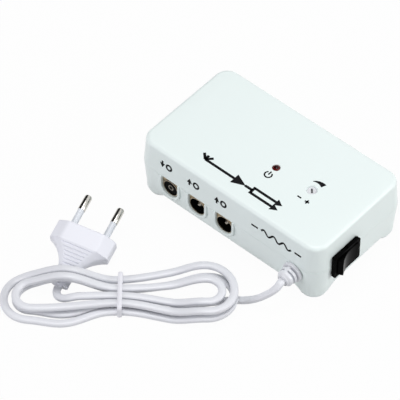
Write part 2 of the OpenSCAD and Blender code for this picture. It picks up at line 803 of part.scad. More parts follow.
module cord_hank() {
    points = [for (a = [turn_start : 5 : turn_end]) on_table(wind(a))];
    gaps = [for (i = [0 : len(points) - 1], j = [i + 18 : 1 : len(points) - 1])
        let (d = points[j] - points[i], t = heading(points, i), s = unit([-t.y, t.x, 0]))
        if (abs(d * t) < 3) let (flat = abs(d * s) - cord_w, rise = abs(d * cross(t, s)) - cord_t)
        flat > 0 || rise > 0 ? norm([max(0, flat), max(0, rise)]) : max(flat, rise)];
    lengths = [for (i = [1 : len(hank_path) - 1]) norm(hank_path[i] - hank_path[i - 1])];
    echo(hank_least_gap = min(gaps), hank_length = lengths * [for (l = lengths) 1]);
    color("ghostwhite") tube(hank_path, oval(cord_w, cord_t, 6, 0));
}

module cord_tail() {
    color("ghostwhite") tube(tail_path, oval(cord_w, cord_t, 8, 22.5));
}

module hank_tie() {
    front = waist + pitch + cord_w / 2 + loose;
    back = waist + 1.5 * pitch + cord_w / 2 + loose;
    tall = cord_t + layer + 2 * loose;
    color("white") translate([hank_at.x, hank_at.y, 0]) rotate([0, 0, hank_turn])
        translate([-tie_w / 2, (back - front) / 2, tie_t + tall / 2 + seat])
            rotate([90, 0, 90]) linear_extrude(height = tie_w) difference() {
                rounded(front + back + 2 * tie_t, tall + 2 * tie_t, 1.6 + tie_t);
                rounded(front + back, tall, 1.6);
            }
}

// Half thickness of the plug at a distance behind its face
function plug_half(s) = neck_t / 2
    + (plug_t - neck_t) / 2
        * (s < block_l ? 1 : pow(max(0, 1 - (s - block_l) / (thick_end - block_l)), 1.2));

module plug_body() {
    ribs = [for (i = [0 : rib_count - 1])
        let (s = block_l + 1 + i * rib_pitch, h = plug_half(s + rib_pitch / 2))
        each [[-s, h - rib_d], [-s - rib_pitch * 0.5, h - rib_d], [-s - rib_pitch * 0.5, h],
            [-s - rib_pitch, h]]];
    edge = concat([[0, plug_t / 2 - 0.8], [-0.8, plug_t / 2], [-block_l, plug_t / 2]], ribs,
        [[-taper_end - 0.2, plug_half(taper_end)], [-plug_l, neck_t / 2]]);
    under = [for (i = [len(edge) - 1 : -1 : 0]) [edge[i].x, -edge[i].y]];
    color("white") at_plug() difference() {
        intersection() {
            linear_extrude(height = 2 * plug_t, center = true) union() {
                translate([-plug_w / 2, -block_l]) square([plug_w, block_l]);
                difference() {
                    translate([-plug_w / 2, -taper_end]) square([plug_w, taper_dy + 0.01]);
                    for (sx = [-1, 1]) translate([sx * (neck_w / 2 + taper_r), -taper_end])
                        circle(r = taper_r);
                }
                translate([-neck_w / 2, -plug_l]) square([neck_w, plug_l - block_l]);
            }
            rotate([90, 0, 90]) linear_extrude(height = 2 * plug_w, center = true)
                polygon(concat(edge, under));
            along_y(-plug_l - 1, 1) rounded(plug_w, plug_t, 5.5);
        }
        for (sx = [-1, 1]) translate([sx * pin_gap / 2, 0, 0]) {
            bar_y(core_d / 2 + fit, -pin_in, 1);
            bar_y(sleeve_d / 2 + fit, -sleeve_in, 1);
        }
    }
}

module plug_sleeves() {
    color("whitesmoke") at_plug() for (sx = [-1, 1]) translate([sx * pin_gap / 2, 0, 0]) difference() {
        bar_y(sleeve_d / 2, -sleeve_in, sleeve_l);
        bar_y(core_d / 2 + fit, -sleeve_in - 1, sleeve_l + 1);
    }
}

module plug_pins() {
    color("silver") at_plug() for (sx = [-1, 1]) translate([sx * pin_gap / 2, 0, 0]) turned_y([
        [0, -pin_in], [core_d / 2, -pin_in], [core_d / 2, sleeve_l], [pin_d / 2, sleeve_l],
        [pin_d / 2, pin_l - 1.2], [pin_d / 2 - 0.35, pin_l - 0.5], [pin_d / 2 - 1.2, pin_l], [0, pin_l]]);
}

lower_case();
upper_cover();
case_screws();
circuit_board();
board_screws();
input_shell();
input_insulator();
input_contact();
output_1_shell();
output_1_insulator();
output_1_pin();
output_2_shell();
output_2_insulator();
output_2_pin();
transformer_core();
transformer_bobbin();
transformer_windings();
smoothing_capacitor();
rectifier_diodes();
rf_transistors();
splitter_core();
voltage_regulator();
power_led();
led_legs();
gain_body();
gain_shaft();
switch_housing();
switch_rocker();
switch_terminals();
mains_wires();
strain_relief();
cord_lead();
cord_hank();
cord_tail();
hank_tie();
plug_body();
plug_sleeves();
plug_pins();
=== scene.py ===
# %% [markdown]
# # A mains-powered aerial amplifier
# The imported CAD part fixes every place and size. This lesson dresses it: fine shells for the
# case, a soft flat cord in a hank, a moulded plug, printed marks, and a finish for each piece.
# Shapes are numpy arrays first and meshes second, in millimetres until the mesh is made.

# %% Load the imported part
import math

import bmesh
import bpy
import numpy as np
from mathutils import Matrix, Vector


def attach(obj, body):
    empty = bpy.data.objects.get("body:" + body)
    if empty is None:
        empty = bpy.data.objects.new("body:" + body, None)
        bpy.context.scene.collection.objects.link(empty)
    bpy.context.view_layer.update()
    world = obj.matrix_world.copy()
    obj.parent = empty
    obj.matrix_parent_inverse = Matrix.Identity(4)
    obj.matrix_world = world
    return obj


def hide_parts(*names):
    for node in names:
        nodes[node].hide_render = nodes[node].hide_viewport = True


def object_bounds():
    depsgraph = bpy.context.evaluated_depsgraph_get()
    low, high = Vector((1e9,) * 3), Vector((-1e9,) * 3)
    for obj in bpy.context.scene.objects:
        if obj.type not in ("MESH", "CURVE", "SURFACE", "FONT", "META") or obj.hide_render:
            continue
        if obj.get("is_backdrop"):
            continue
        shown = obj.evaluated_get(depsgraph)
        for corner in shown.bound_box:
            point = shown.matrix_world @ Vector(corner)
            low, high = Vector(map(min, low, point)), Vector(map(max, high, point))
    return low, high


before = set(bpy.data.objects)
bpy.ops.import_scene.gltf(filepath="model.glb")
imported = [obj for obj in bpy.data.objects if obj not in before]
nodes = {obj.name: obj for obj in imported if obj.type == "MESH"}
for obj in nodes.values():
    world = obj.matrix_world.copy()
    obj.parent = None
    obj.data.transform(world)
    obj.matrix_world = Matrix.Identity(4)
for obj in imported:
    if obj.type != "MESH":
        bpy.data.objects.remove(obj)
scene = bpy.context.scene
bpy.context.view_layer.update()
MM = 0.001


def placed(name, data):
    """A new object for a mesh, a lamp or a camera, put into the scene."""
    piece = bpy.data.objects.new(name, data)
    scene.collection.objects.link(piece)
    return piece


# %% [markdown]
# ## Camera
# The photograph looks down on the socket side and the switch end from far away, so parallel edges
# stay almost parallel. A long lens far back gives that. The numbers come from fitting the case's
# edges: azimuth, elevation, distance and focal length, with the aim a little left of the case.

# %% Camera at the photograph's angle
AZIMUTH, ELEVATION = math.radians(41.315), math.radians(49.498)
DISTANCE, FOCAL_PX, FRAME_PX, SENSOR = 1.4773, 2959.75, 400, 36.0
MIDDLE_Z, AIM_LEFT, AIM_DOWN = 0.020, 0.034962, 0.009611

to_right = np.array([math.cos(AZIMUTH), math.sin(AZIMUTH), 0.0])
to_back = np.array([math.sin(AZIMUTH) * math.cos(ELEVATION),
                    -math.cos(AZIMUTH) * math.cos(ELEVATION), math.sin(ELEVATION)])
to_top = np.cross(to_back, to_right)
aim = np.array([0, 0, MIDDLE_Z]) - AIM_LEFT * to_right - AIM_DOWN * to_top

camera_data = bpy.data.cameras.new("photo_camera")
camera_data.sensor_width = SENSOR
camera_data.lens = FOCAL_PX * SENSOR / FRAME_PX
camera_data.clip_start, camera_data.clip_end = 0.05, 20
camera = placed("photo_camera", camera_data)
camera.location = aim + DISTANCE * to_back
camera.rotation_euler = (math.pi / 2 - ELEVATION, 0, AZIMUTH)
scene.camera = camera
print("lens", round(camera_data.lens, 1), "mm")

# %% [markdown]
# ## Floor and light
# A white object on white paper needs soft light from all round, and a lamp for each side that shows, so
# that the top is the palest face and the socket side the greyest. The paper shows nearly white to the
# camera, through Light Path, and still takes a faint shadow. Gloss sees the same white room. Shaders
# are graphs of nodes, so a few helpers that build them come first.

# %% Helpers for shader nodes
def fill(tree, socket, value):
    """Links a socket to another node's output, or stores a plain value in it."""
    if isinstance(value, bpy.types.NodeSocket):
        tree.links.new(value, socket)
    else:
        socket.default_value = value


def add(tree, kind, inputs, operation=None, blend=None):
    """Adds a node with what each of its inputs is filled with. A sum names its operation, and a mix of
    colours how they blend."""
    node = tree.nodes.new(kind)
    if operation:
        node.operation = operation
    if blend:
        node.data_type, node.blend_type = "RGBA", blend
    for key, value in inputs.items():
        fill(tree, node.inputs[key], value)
    return node


def look(name, **sockets):
    """A new material with its tree and its shader. Names with underscores for spaces fill its sockets."""
    material = bpy.data.materials.new(name)
    material.use_nodes = True
    tree = material.node_tree
    shader = tree.nodes["Principled BSDF"]
    for socket, value in sockets.items():
        fill(tree, shader.inputs[socket.replace("_", " ")], value)
    return material, tree, shader


def seen_ray(tree):
    """1 for rays from the camera, a mirror or a clear piece, and 0 for rays that only carry light: the
    largest of three signs that are each 0 or 1."""
    rays = add(tree, "ShaderNodeLightPath", {}).outputs
    seen = rays["Is Camera Ray"]
    for kind in ("Is Glossy Ray", "Is Transmission Ray"):
        seen = add(tree, "ShaderNodeMath", {0: seen, 1: rays[kind]}, operation="MAXIMUM").outputs[0]
    return seen


# %% White room
ROOM_LIGHT, SEEN_LIGHT, WHITE = 0.34, 1.0, (1, 1, 1, 1)

world = bpy.data.worlds.new("white_room")
world.use_nodes = True
scene.world = world
tree = world.node_tree
strength = add(tree, "ShaderNodeMapRange", {"Value": seen_ray(tree), "To Min": ROOM_LIGHT,
                                            "To Max": SEEN_LIGHT})
background = tree.nodes["Background"]
fill(tree, background.inputs["Color"], WHITE)
fill(tree, background.inputs["Strength"], strength.outputs["Result"])
print("room light:", ROOM_LIGHT)

# %% Paper
PAPER_HALF, PAPER_TONE, PAPER_GLOW = 4.0, 0.6, 0.968


def sheet(name, corners):
    """A flat sheet with four corners, in metres, for the stage round the part."""
    mesh = bpy.data.meshes.new(name)
    mesh.from_pydata(corners, [], [(0, 1, 2, 3)])
    return placed(name, mesh)


square = np.array([(-1, -1, 0), (1, -1, 0), (1, 1, 0), (-1, 1, 0)])
paper = sheet("paper", square * PAPER_HALF)
paper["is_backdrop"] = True
paper_look, tree, shader = look("paper_white", Base_Color=(PAPER_TONE, PAPER_TONE, PAPER_TONE, 1),
                                Roughness=0.9, Specular_IOR_Level=0.0)
glow = add(tree, "ShaderNodeEmission", {"Color": WHITE})
glow_share = add(tree, "ShaderNodeMath", {0: seen_ray(tree), 1: PAPER_GLOW}, operation="MULTIPLY")
blend = add(tree, "ShaderNodeMixShader", {"Fac": glow_share.outputs[0], 1: shader.outputs["BSDF"],
                                          2: glow.outputs["Emission"]})
fill(tree, tree.nodes["Material Output"].inputs["Surface"], blend.outputs["Shader"])
paper.data.materials.append(paper_look)
print("paper is", 2 * PAPER_HALF, "m wide")

# %% Lamps
PART_MIDDLE = (0, -0.03, 0.02)


def panel(name, place, size, power, colour=(1, 1, 1)):
    """A square soft lamp at a place, turned to the middle of the part."""
    data = bpy.data.lights.new(name, "AREA")
    data.size, data.energy, data.color = size, power, colour
    lamp = placed(name, data)
    lamp.location = place
    from_middle = Vector(place) - Vector(PART_MIDDLE)
    lamp.rotation_euler = from_middle.to_track_quat("Z", "Y").to_euler()


panel("overhead_panel", (-0.10, 0.05, 1.1), 0.6, 6.4)
panel("switch_side_panel", (1.0, 0.45, 0.5), 0.6, 6.9)
panel("socket_side_panel", (-0.35, -1.15, 0.4), 0.7, 5.7, (0.97, 0.96, 1.0))
scene.view_settings.view_transform = "Standard"

# %% [markdown]
# ## A dark card for the metal
# Bright metal in a white room turns white all over. A photographer stands a dark card beside it, out of
# the picture, so that one flank of each pin goes dark and its roundness shows. This card stands left of
# the plug's pins, along them and along the line of sight, and only gloss sees it.

# %% Dark card
PINS_AT, PINS_ALONG = np.array([-0.055, -0.07, 0.012]), np.array([-0.253, 0.945, 0.208])
CARD_AWAY, CARD_NEAR = 0.35, 1.8

aside = np.cross(to_back, PINS_ALONG)
card_at = PINS_AT + CARD_AWAY * aside / np.linalg.norm(aside)
card = sheet("dark_card", [card_at + a * PINS_ALONG + b * to_back
                           for a, b in ((-1, -1), (1, -1), (1, CARD_NEAR), (-1, CARD_NEAR))])
card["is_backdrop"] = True
card.visible_camera = card.visible_diffuse = card.visible_shadow = card.visible_transmission = False
card.data.materials.append(look("card_black", Base_Color=(0.01, 0.01, 0.01, 1), Roughness=1.0)[0])
print("stage:", [paper.name, card.name])

# %% [markdown]
# ## Finishes
# Even a plain moulding is never one colour: tone drifts over a few centimetres, and the tool leaves a fine
# grain that breaks up the gloss. Two noises do this for every finish here: a broad one moves the colour
# between two near tones, and a fine one moves the roughness and a shallow bump. Where shade gathers, some
# finishes also have shade painted into their tone, darker towards one height. Pictures could do this too,
# but noise has no seams.

# %% One recipe for mouldings, metals and cord
def finish_of(name, colour, rough, mottle=0.03, patch=0.03, grain=0.0008, depth=6e-6, drift=0.05,
              shade_by_height=None, **sockets):
    """Procedural finish. Tone = colour times (1 -+ mottle) by a noise of size patch; roughness = rough -+
    drift and height = depth by a noise of size grain, all in metres on the piece's own coordinates. Shade by
    height is painted shade: two heights in metres and a share; at the first height the tone is that share of
    itself, and at the second it is whole. Other names set the shader's own sockets."""
    material, tree, shader = look(name, **sockets)
    place = add(tree, "ShaderNodeTexCoord", {}).outputs["Object"]
    broad, fine = [add(tree, "ShaderNodeTexNoise", {"Vector": place, "Scale": 1 / size, "Detail": detail})
                   .outputs["Fac"] for size, detail in ((patch, 2), (grain, 3))]
    dark, pale = [(*[min(1, c * k) for c in colour], 1) for k in (1 - mottle, 1 + mottle)]
    tone = add(tree, "ShaderNodeMix", {"Factor": broad, "A": dark, "B": pale}, blend="MIX").outputs["Result"]
    # Painted shade: the tone is darkened towards one height, as shade in a hollow would darken it.
    if shade_by_height:
        start, end, share = shade_by_height
        height = add(tree, "ShaderNodeSeparateXYZ", {"Vector": place}).outputs["Z"]
        unshaded_share = add(tree, "ShaderNodeMapRange", {"Value": height, "From Min": start, "From Max": end,
                                                 "To Min": share}).outputs["Result"]
        tone = add(tree, "ShaderNodeMix", {"Factor": 1.0, "A": tone, "B": unshaded_share},
                   blend="MULTIPLY").outputs["Result"]
    gloss = add(tree, "ShaderNodeMapRange", {"Value": fine, "To Min": max(0.02, rough - drift),
                                             "To Max": rough + drift})
    bump = add(tree, "ShaderNodeBump", {"Distance": depth, "Height": fine})
    fill(tree, shader.inputs["Base Color"], tone)
    fill(tree, shader.inputs["Roughness"], gloss.outputs["Result"])
    fill(tree, shader.inputs["Normal"], bump.outputs["Normal"])
    return material


case_white = finish_of("case_white", (0.76, 0.835, 0.825), 0.34, mottle=0.012, patch=0.05, depth=3e-6)
cord_white = finish_of("cord_white", (0.69, 0.70, 0.74), 0.34, mottle=0.025, patch=0.02, grain=0.0012)
plug_white = finish_of("plug_white", (0.74, 0.75, 0.81), 0.45, mottle=0.015, patch=0.02)
print("finishes:", [m.name for m in bpy.data.materials if m.use_nodes][-3:])

# %% [markdown]
# ## From arrays to meshes
# A surface is a grid of points: rows along one parameter, columns along the other. Quads join
# neighbours. A row whose points all fall together is a pole, which merging closes. Modifiers could
# build many of these shapes, but a grid keeps its formula in view.

# %% Grid to mesh
def round_turn(count):
    """Evenly spaced angles once round, with the first one not repeated."""
    return np.linspace(0, 2 * np.pi, count, endpoint=False)


def circle(a):
    """Points of a circle of radius 1 at given angles."""
    return np.stack([np.cos(a), np.sin(a)], -1)


def surface(name, grid, wrap=(False, True)):
    """Mesh of a grid of points in mm: each cell is a quad, and a wrapped direction joins its last line to
    its first. Points that fall together are merged and the faces turned outwards."""
    rows, cols = grid.shape[:2]
    i, j = np.meshgrid(np.arange(rows - (not wrap[0])), np.arange(cols - (not wrap[1])), indexing="ij")
    k, n = (i + 1) % rows, (j + 1) % cols
    quads = np.stack([i * cols + j, k * cols + j, k * cols + n, i * cols + n], -1).reshape(-1, 4)
    mesh = bpy.data.meshes.new(name)
    mesh.from_pydata((grid.reshape(-1, 3) * MM).tolist(), [], quads.tolist())
    shape = bmesh.new()
    shape.from_mesh(mesh)
    bmesh.ops.remove_doubles(shape, verts=shape.verts, dist=1e-6)
    bmesh.ops.recalc_face_normals(shape, faces=shape.faces)
    shape.to_mesh(mesh)
    shape.free()
    return placed(name, mesh)


def smooth(piece, sharp_over=35):
    """Shades a piece smooth, with edges sharper than the angle left crisp."""
    piece.data.polygons.foreach_set("use_smooth", np.ones(len(piece.data.polygons), bool))
    piece.data.set_sharp_from_angle(angle=math.radians(sharp_over))
    return piece


def dress(piece, material, stands_for=(), body="case"):
    """Gives a finished piece its look, its body and the CAD nodes it stands for."""
    piece.data.materials.clear()
    piece.data.materials.append(material)
    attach(piece, body)
    if stands_for:
        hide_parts(*stands_for)
    print(piece.name, "has", len(piece.data.polygons), "faces")
    return piece


# %% [markdown]
# ## The cord's route
# The cord leaves the strain relief, drops to the table and runs under the right end of the hank. There
# it winds three times round, spiralling in on the lower layer and out again on the upper one, then turns
# inside the left loop to the plug. It could be drawn by hand, but a formula keeps the strands apart.
# The hank has the CAD source's formula, and the stretches on both sides repeat its points.

# %% Sizes of the hank, and helpers
CORD_W, CORD_T = 4.0, 2.8
PITCH, LAYER = CORD_W + 0.6, CORD_T + 1.1
HANK_AT, HANK_TURN = np.array([-15.2, -95.0]), math.radians(40.65)
LEFT_C, RIGHT_C, LEFT_B, RIGHT_B = 43.5, 42.9, 6.2, 8.6
WAIST, FAN = PITCH * 0.75, 0.3
LIE_Z, TIE_LIFT, NECK_HUMP, LEAD_HUMP, BULGE = CORD_T / 2 + 0.05, 1.0, 7.6, CORD_T + 0.7, 3.6
TURN_START, TURN_MID, TURN_END, STEP_TURN = 68, 630, 1185, 60
NECK_U, LEAD_U = -26, 24


def ease(x):
    """Half a cosine wave from 0 to 1, flat at both ends and held outside them."""
    return (1 - np.cos(np.pi * np.clip(x, 0, 1))) / 2


def hump(x, at, half):
    """A rounded hill of height 1 at a place, down to 0 at half a width either side."""
    return np.cos(np.pi / 2 * np.clip((x - at) / half, -1, 1)) ** 2


def on_table(q):
    """Hank axes u, v, z to the row frame: turned by the hank's angle about its place."""
    u, v, z = np.moveaxis(np.asarray(q, float), -1, 0)
    c, s = math.cos(HANK_TURN), math.sin(HANK_TURN)
    return np.stack([HANK_AT[0] + u * c - v * s, HANK_AT[1] + u * s + v * c, z], -1)


def to_loop(u):
    """Share of the way from the tie to the end loop on the same side, eased."""
    return ease(np.abs(u) / np.where(u > 0, RIGHT_C, LEFT_C))


def run_v(u):
    """Half width of the innermost run: the waist at the tie, eased out to the end loops."""
    return WAIST + (np.where(u > 0, RIGHT_B, LEFT_B) - WAIST) * to_loop(u)


# %% Winding formula
def wind(a):
    """Place of the cord at winding angle a. Each turn is a right half circle, a front run, a left half
    circle and a back run. The offset from the innermost turn grows up to the middle of the winding and
    falls again. The layer steps up there, half a pitch further in. Strands fan out towards the end
    loops. The height also lifts over the tie, the plug's neck and the lead."""
    f = a % 360
    past_mid = (a - TURN_MID) / STEP_TURN
    upper = ease(past_mid + 0.5)
    offset = PITCH * (1.5 - np.abs(a - TURN_MID) / 360 - 0.5 * ease(past_mid - 0.5))
    right_e = np.radians(2 * np.where(f < 45, f, f - 360))
    left_e = np.radians(2 * (f - 180))
    front_u = RIGHT_C - (f - 45) / 90 * (LEFT_C + RIGHT_C)
    back_u = (f - 225) / 90 * (LEFT_C + RIGHT_C) - LEFT_C
    front_v = -run_v(front_u) - offset * (1 + FAN * to_loop(front_u))
    back_v = run_v(back_u) + offset * (1 + FAN * to_loop(back_u))
    right_r, left_r = RIGHT_B + offset * (1 + FAN), LEFT_B + offset * (1 + FAN)
    right_u, right_v = RIGHT_C + right_r * np.cos(right_e), -right_r * np.sin(right_e)
    left_u, left_v = -LEFT_C - left_r * np.cos(left_e), left_r * np.sin(left_e)
    part = [(f < 45) | (f >= 315), f < 135, f < 225]
    u = np.select(part, [right_u, front_u, left_u], back_u)
    v = np.select(part, [right_v, front_v, left_v], back_v)
    z = (LIE_Z + LAYER * upper + TIE_LIFT * hump(u, 0, 26) + LEAD_HUMP * ease((u - LEAD_U) / 18)
         + NECK_HUMP * hump(u, NECK_U, 25) * ease((v + 4) / 10))
    v = v - np.where(v < 0, BULGE * hump(u, NECK_U, 20) * (1 - upper), 0)
    return on_table(np.stack([u, v, z], -1))


hank = wind(np.linspace(TURN_START, TURN_END, 373))
print("hank runs", np.round(np.linalg.norm(np.diff(hank, axis=0), axis=1).sum()), "mm")

# %% Lead and tail
PLUG_AT = np.array([-51.4, -78.4, 9.1])
PLUG_TURN, PLUG_RISE, PLUG_ROLL = np.radians([105.0, 12.0, 3.0])
PLUG_L = 32.0
plug_dir = np.array([math.cos(PLUG_TURN) * math.cos(PLUG_RISE), math.sin(PLUG_TURN) * math.cos(PLUG_RISE),
                     math.sin(PLUG_RISE)])
neck_end = PLUG_AT - plug_dir * PLUG_L
EXIT = np.array([44.0, -42.1, 15.6])


def unit(d):
    """A direction of length 1."""
    return d / np.linalg.norm(d, axis=-1, keepdims=True)


hank_in, hank_out = unit(hank[1] - hank[0]), unit(hank[-1] - hank[-2])
hank_first, hank_last = hank[0] - hank_in * CORD_W, hank[-1] + hank_out * CORD_W
# From the exit: steps along and away from the wall in mm, and the share of the exit's height left
lead_steps = np.array([[0, 0, 1], [0, -1.3, 1], [0.1, -2.6, 0.98], [0.1, -3.9, 0.92], [-0.6, -5.5, 0.83],
                       [-2, -6.9, 0.69], [-3.8, -8.2, 0.54], [-6, -9.5, 0.37], [-8.4, -10.7, 0.22],
                       [-10.8, -11.9, 0.11], [-13.4, -13.5, 0.04], [-16.4, -15.5, 0.01]])
drop = np.stack([EXIT[0] + lead_steps[:, 0], EXIT[1] + lead_steps[:, 1],
                 LIE_Z + (EXIT[2] - LIE_Z) * lead_steps[:, 2]], -1)
lead = np.vstack([drop, on_table([[51, 0, LIE_Z], [45, -0.8, LIE_Z], [39, -1.8, LIE_Z], [33, -2.6, LIE_Z]]),
                  hank_first])
# The tail turns from the hank's way to the plug's on an arc, and sinks to the plug early on
TAIL_R = 6.4
tail_in = neck_end - plug_dir * 1.2
tail_t = np.linspace(0, 1, 9)
tail_e = (HANK_TURN + 1.5 * math.pi) * (1 - tail_t) + (PLUG_TURN + math.pi / 2) * tail_t
sink = 1 - np.sin(np.pi / 2 * np.minimum(1, 1.12 * tail_t))
tail_arc = np.stack([tail_in[0] + TAIL_R * (math.sin(PLUG_TURN) + np.cos(tail_e)),
                     tail_in[1] + TAIL_R * (np.sin(tail_e) - math.cos(PLUG_TURN)),
                     tail_in[2] + (hank_last[2] - 0.7 - tail_in[2]) * sink], -1)
tail = np.vstack([hank_last, hank_last + hank_out * 1.5, tail_arc, neck_end])
print("points in the lead and the tail:", len(lead), len(tail))


# %% One smooth line
def flowing(points, step):
    """A smooth line through points, as a spline whose pieces share their slopes, cut into even steps."""
    knot = np.concatenate([[0], np.cumsum(np.linalg.norm(np.diff(points, axis=0), axis=1) ** 0.5)])
    slope = np.gradient(points, knot, axis=0)
    at = np.linspace(0, knot[-1], 12 * len(points))
    i = np.clip(np.searchsorted(knot, at, "right") - 1, 0, len(knot) - 2)
    gap = (knot[i + 1] - knot[i])[:, None]
    t = (at[:, None] - knot[i][:, None]) / gap
    line = ((2 * t**3 - 3 * t**2 + 1) * points[i] + (t**3 - 2 * t**2 + t) * gap * slope[i]
            + (3 * t**2 - 2 * t**3) * points[i + 1] + (t**3 - t**2) * gap * slope[i + 1])
    run = np.concatenate([[0], np.cumsum(np.linalg.norm(np.diff(line, axis=0), axis=1))])
    even = np.linspace(0, run[-1], int(run[-1] / step) + 1)
    return np.stack([np.interp(even, run, line[:, k]) for k in range(3)], -1), run[-1]


route, cord_length = flowing(np.vstack([lead, hank, tail]), 1.1)
print("cord is", round(cord_length), "mm long")

# %% [markdown]
# ## The cord
# Flat two-core flex has a full-bellied oval section and lies on its flat side. Carrying that section
# along the route, kept level, gives one unbroken skin. A curve with a bevel would tilt it in the bends.

# %% Flat cord
def oval(width, thick, count, power=0.7):
    """Section of the cord: an ellipse with its sides filled out by raising sine and cosine to a power."""
    ring = circle(round_turn(count))
    return np.array([width, thick]) / 2 * np.sign(ring) * np.abs(ring) ** power


def carried(path, section):
    """Grid of a section carried along a path: its first axis stays level and its second is square to it."""
    along = unit(np.gradient(path, axis=0))
    level = unit(np.stack([-along[:, 1], along[:, 0], np.zeros(len(path))], -1))
    above = np.cross(along, level)
    return path[:, None] + section[None, :, :1] * level[:, None] + section[None, :, 1:] * above[:, None]


def capped(grid):
    """A tube's grid with its two ends drawn in to their middle points."""
    ends = grid.mean(axis=1, keepdims=True) + np.zeros((1, grid.shape[1], 1))
    return np.concatenate([ends[:1], grid, ends[-1:]])


flex = dress(smooth(surface("flat_cord", capped(carried(route, oval(CORD_W, CORD_T, 24)))), 60),
             cord_white, ["cord_lead", "cord_hank", "cord_tail"])

# %% [markdown]
# ## Tie
# A coated wire tie holds the hank at its waist: a thin ribbon with a ridge where the wire lies. It is a
# lens-shaped section carried round a rounded loop that stands across the hank. A flat band would be
# simpler, but the ridge is what catches the light.

# %% Ribbon tie
TIE_W, TIE_T, TIE_ROOM, TIE_BEND, WIRE_HALF = 2.3, 0.7, 0.3, 1.6, 0.55
SIDE_SHARE = 0.12


def ring_line(long, wide, radius, count):
    """Closed rounded rectangle about the middle: points and outward directions. A circle is moved out by
    the sides' half lengths, and its points within a small share of an axis are drawn along that side."""
    out = circle(round_turn(count))
    core = np.sign(out) * (np.array([long, wide]) / 2 - radius)
    return core * np.clip(np.abs(out) / SIDE_SHARE, 0, 1) + radius * out, out


tie_front, tie_back = WAIST + PITCH + CORD_W / 2 + TIE_ROOM, WAIST + 1.5 * PITCH + CORD_W / 2 + TIE_ROOM
tie_tall = CORD_T + LAYER + 2 * TIE_ROOM
loop, outward = ring_line(tie_front + tie_back, tie_tall, TIE_BEND, 160)
angle = round_turn(20)
ribbon_u = TIE_W / 2 * np.cos(angle)
ribbon_h = TIE_T * (0.5 + 0.5 * np.sin(angle) * (0.55 + 0.45 * np.exp(-(ribbon_u / WIRE_HALF) ** 2)))
loop_v = loop[:, None, 0] + outward[:, None, 0] * ribbon_h + (tie_back - tie_front) / 2
loop_z = loop[:, None, 1] + outward[:, None, 1] * ribbon_h + TIE_T + tie_tall / 2 + 0.05
tie_grid = on_table(np.stack([ribbon_u + 0 * loop_v, loop_v, loop_z], -1))
tie_white = finish_of("tie_white", (0.74, 0.74, 0.79), 0.38, mottle=0.02, patch=0.004, grain=0.0005)
tie = dress(smooth(surface("hank_ribbon", tie_grid, (True, True)), 60), tie_white,
            ["hank_tie"])

# %% [markdown]
# ## Plug
# The moulded two-pin plug has a plain block in front, then waists in to the cord in a hollow curve,
# with ribs across its top and bottom for the fingers. It is a loft: eight-sided rings whose width,
# thickness and cut corners change with the distance behind the face. Grooves are pressed into its
# flats. A subdivided box would soften the flats and lose the ribs.

# %% Sections of the plug
PLUG_W, PLUG_T, BLOCK_L, NECK_W, NECK_T, RIBS = 32.0, 13.0, 10.5, 9.2, 4.4, 9
CUT_W, CUT_T, EDGE_SOFT, FACE_ROUND, RIB_DEEP = 6.0, 3.6, 1.2, 0.9, 0.5
TAPER_END, THICK_END = PLUG_L - 4, PLUG_L - 10


def in_plug(q):
    """Plug axes to the row frame: rolled, pitched up, turned on the table and moved to the face."""
    q = np.asarray(q, float)
    cr, sr = math.cos(PLUG_ROLL), math.sin(PLUG_ROLL)
    cp, sp = math.cos(PLUG_RISE), math.sin(PLUG_RISE)
    ct, st = math.cos(PLUG_TURN - math.pi / 2), math.sin(PLUG_TURN - math.pi / 2)
    roll = np.array([[cr, 0, sr], [0, 1, 0], [-sr, 0, cr]])
    pitch = np.array([[1, 0, 0], [0, cp, -sp], [0, sp, cp]])
    turn = np.array([[ct, -st, 0], [st, ct, 0], [0, 0, 1]])
    return q @ (turn @ pitch @ roll).T + PLUG_AT


def plug_half_width(s):
    """Half width behind the face: the full block, then an arc that hollows in to the neck."""
    dx, dy = (PLUG_W - NECK_W) / 2, TAPER_END - BLOCK_L
    radius = (dx * dx + dy * dy) / (2 * dx)
    to_end = TAPER_END - np.clip(s, BLOCK_L, TAPER_END)
    arc = NECK_W / 2 + radius - np.sqrt(np.maximum(0, radius**2 - to_end**2))
    return np.where(s < BLOCK_L, PLUG_W / 2, np.minimum(PLUG_W / 2, arc))


def plug_half_thick(s):
    """Half thickness behind the face: the full block, then a curve down to the neck."""
    fall = np.clip(1 - (s - BLOCK_L) / (THICK_END - BLOCK_L), 0, 1) ** 1.2
    return NECK_T / 2 + (PLUG_T - NECK_T) / 2 * np.where(s < BLOCK_L, 1, fall)


def eight_sided(half_w, half_t, cut_w, cut_t):
    """Rings of a rectangle with its corners cut off. Each of the eight edges is rounded by a parabola that
    starts a soft distance before it, and the flats between them get points of their own."""
    flat_w, flat_t = half_w - cut_w, half_t - cut_t
    x = np.stack([half_w, flat_w, -flat_w, -half_w, -half_w, -flat_w, flat_w, half_w], 1)
    z = np.stack([flat_t, half_t, half_t, flat_t, -flat_t, -half_t, -half_t, -flat_t], 1)
    edge = np.stack([x, z], -1)
    ahead = np.roll(edge, -1, axis=1) - edge
    length = np.linalg.norm(ahead, axis=-1, keepdims=True)
    trim = np.minimum(EDGE_SOFT / length, 0.4)
    leave, reach = edge + ahead * trim, np.roll(edge + ahead * (1 - trim), 1, axis=1)
    t, rows = np.linspace(0, 1, 7)[None, :, None], []
    for k in range(8):
        a, p, b = reach[:, k, None], edge[:, k, None], leave[:, k, None]
        ribbed = k in (1, 5)
        flat = np.linspace(0, 1, 46 if ribbed else 7)[None, 1:-1, None]
        rows += [(1 - t) ** 2 * a + 2 * t * (1 - t) * p + t**2 * b,
                 b + (reach[:, (k + 1) % 8, None] - b) * flat]
    return np.concatenate(rows, axis=1)


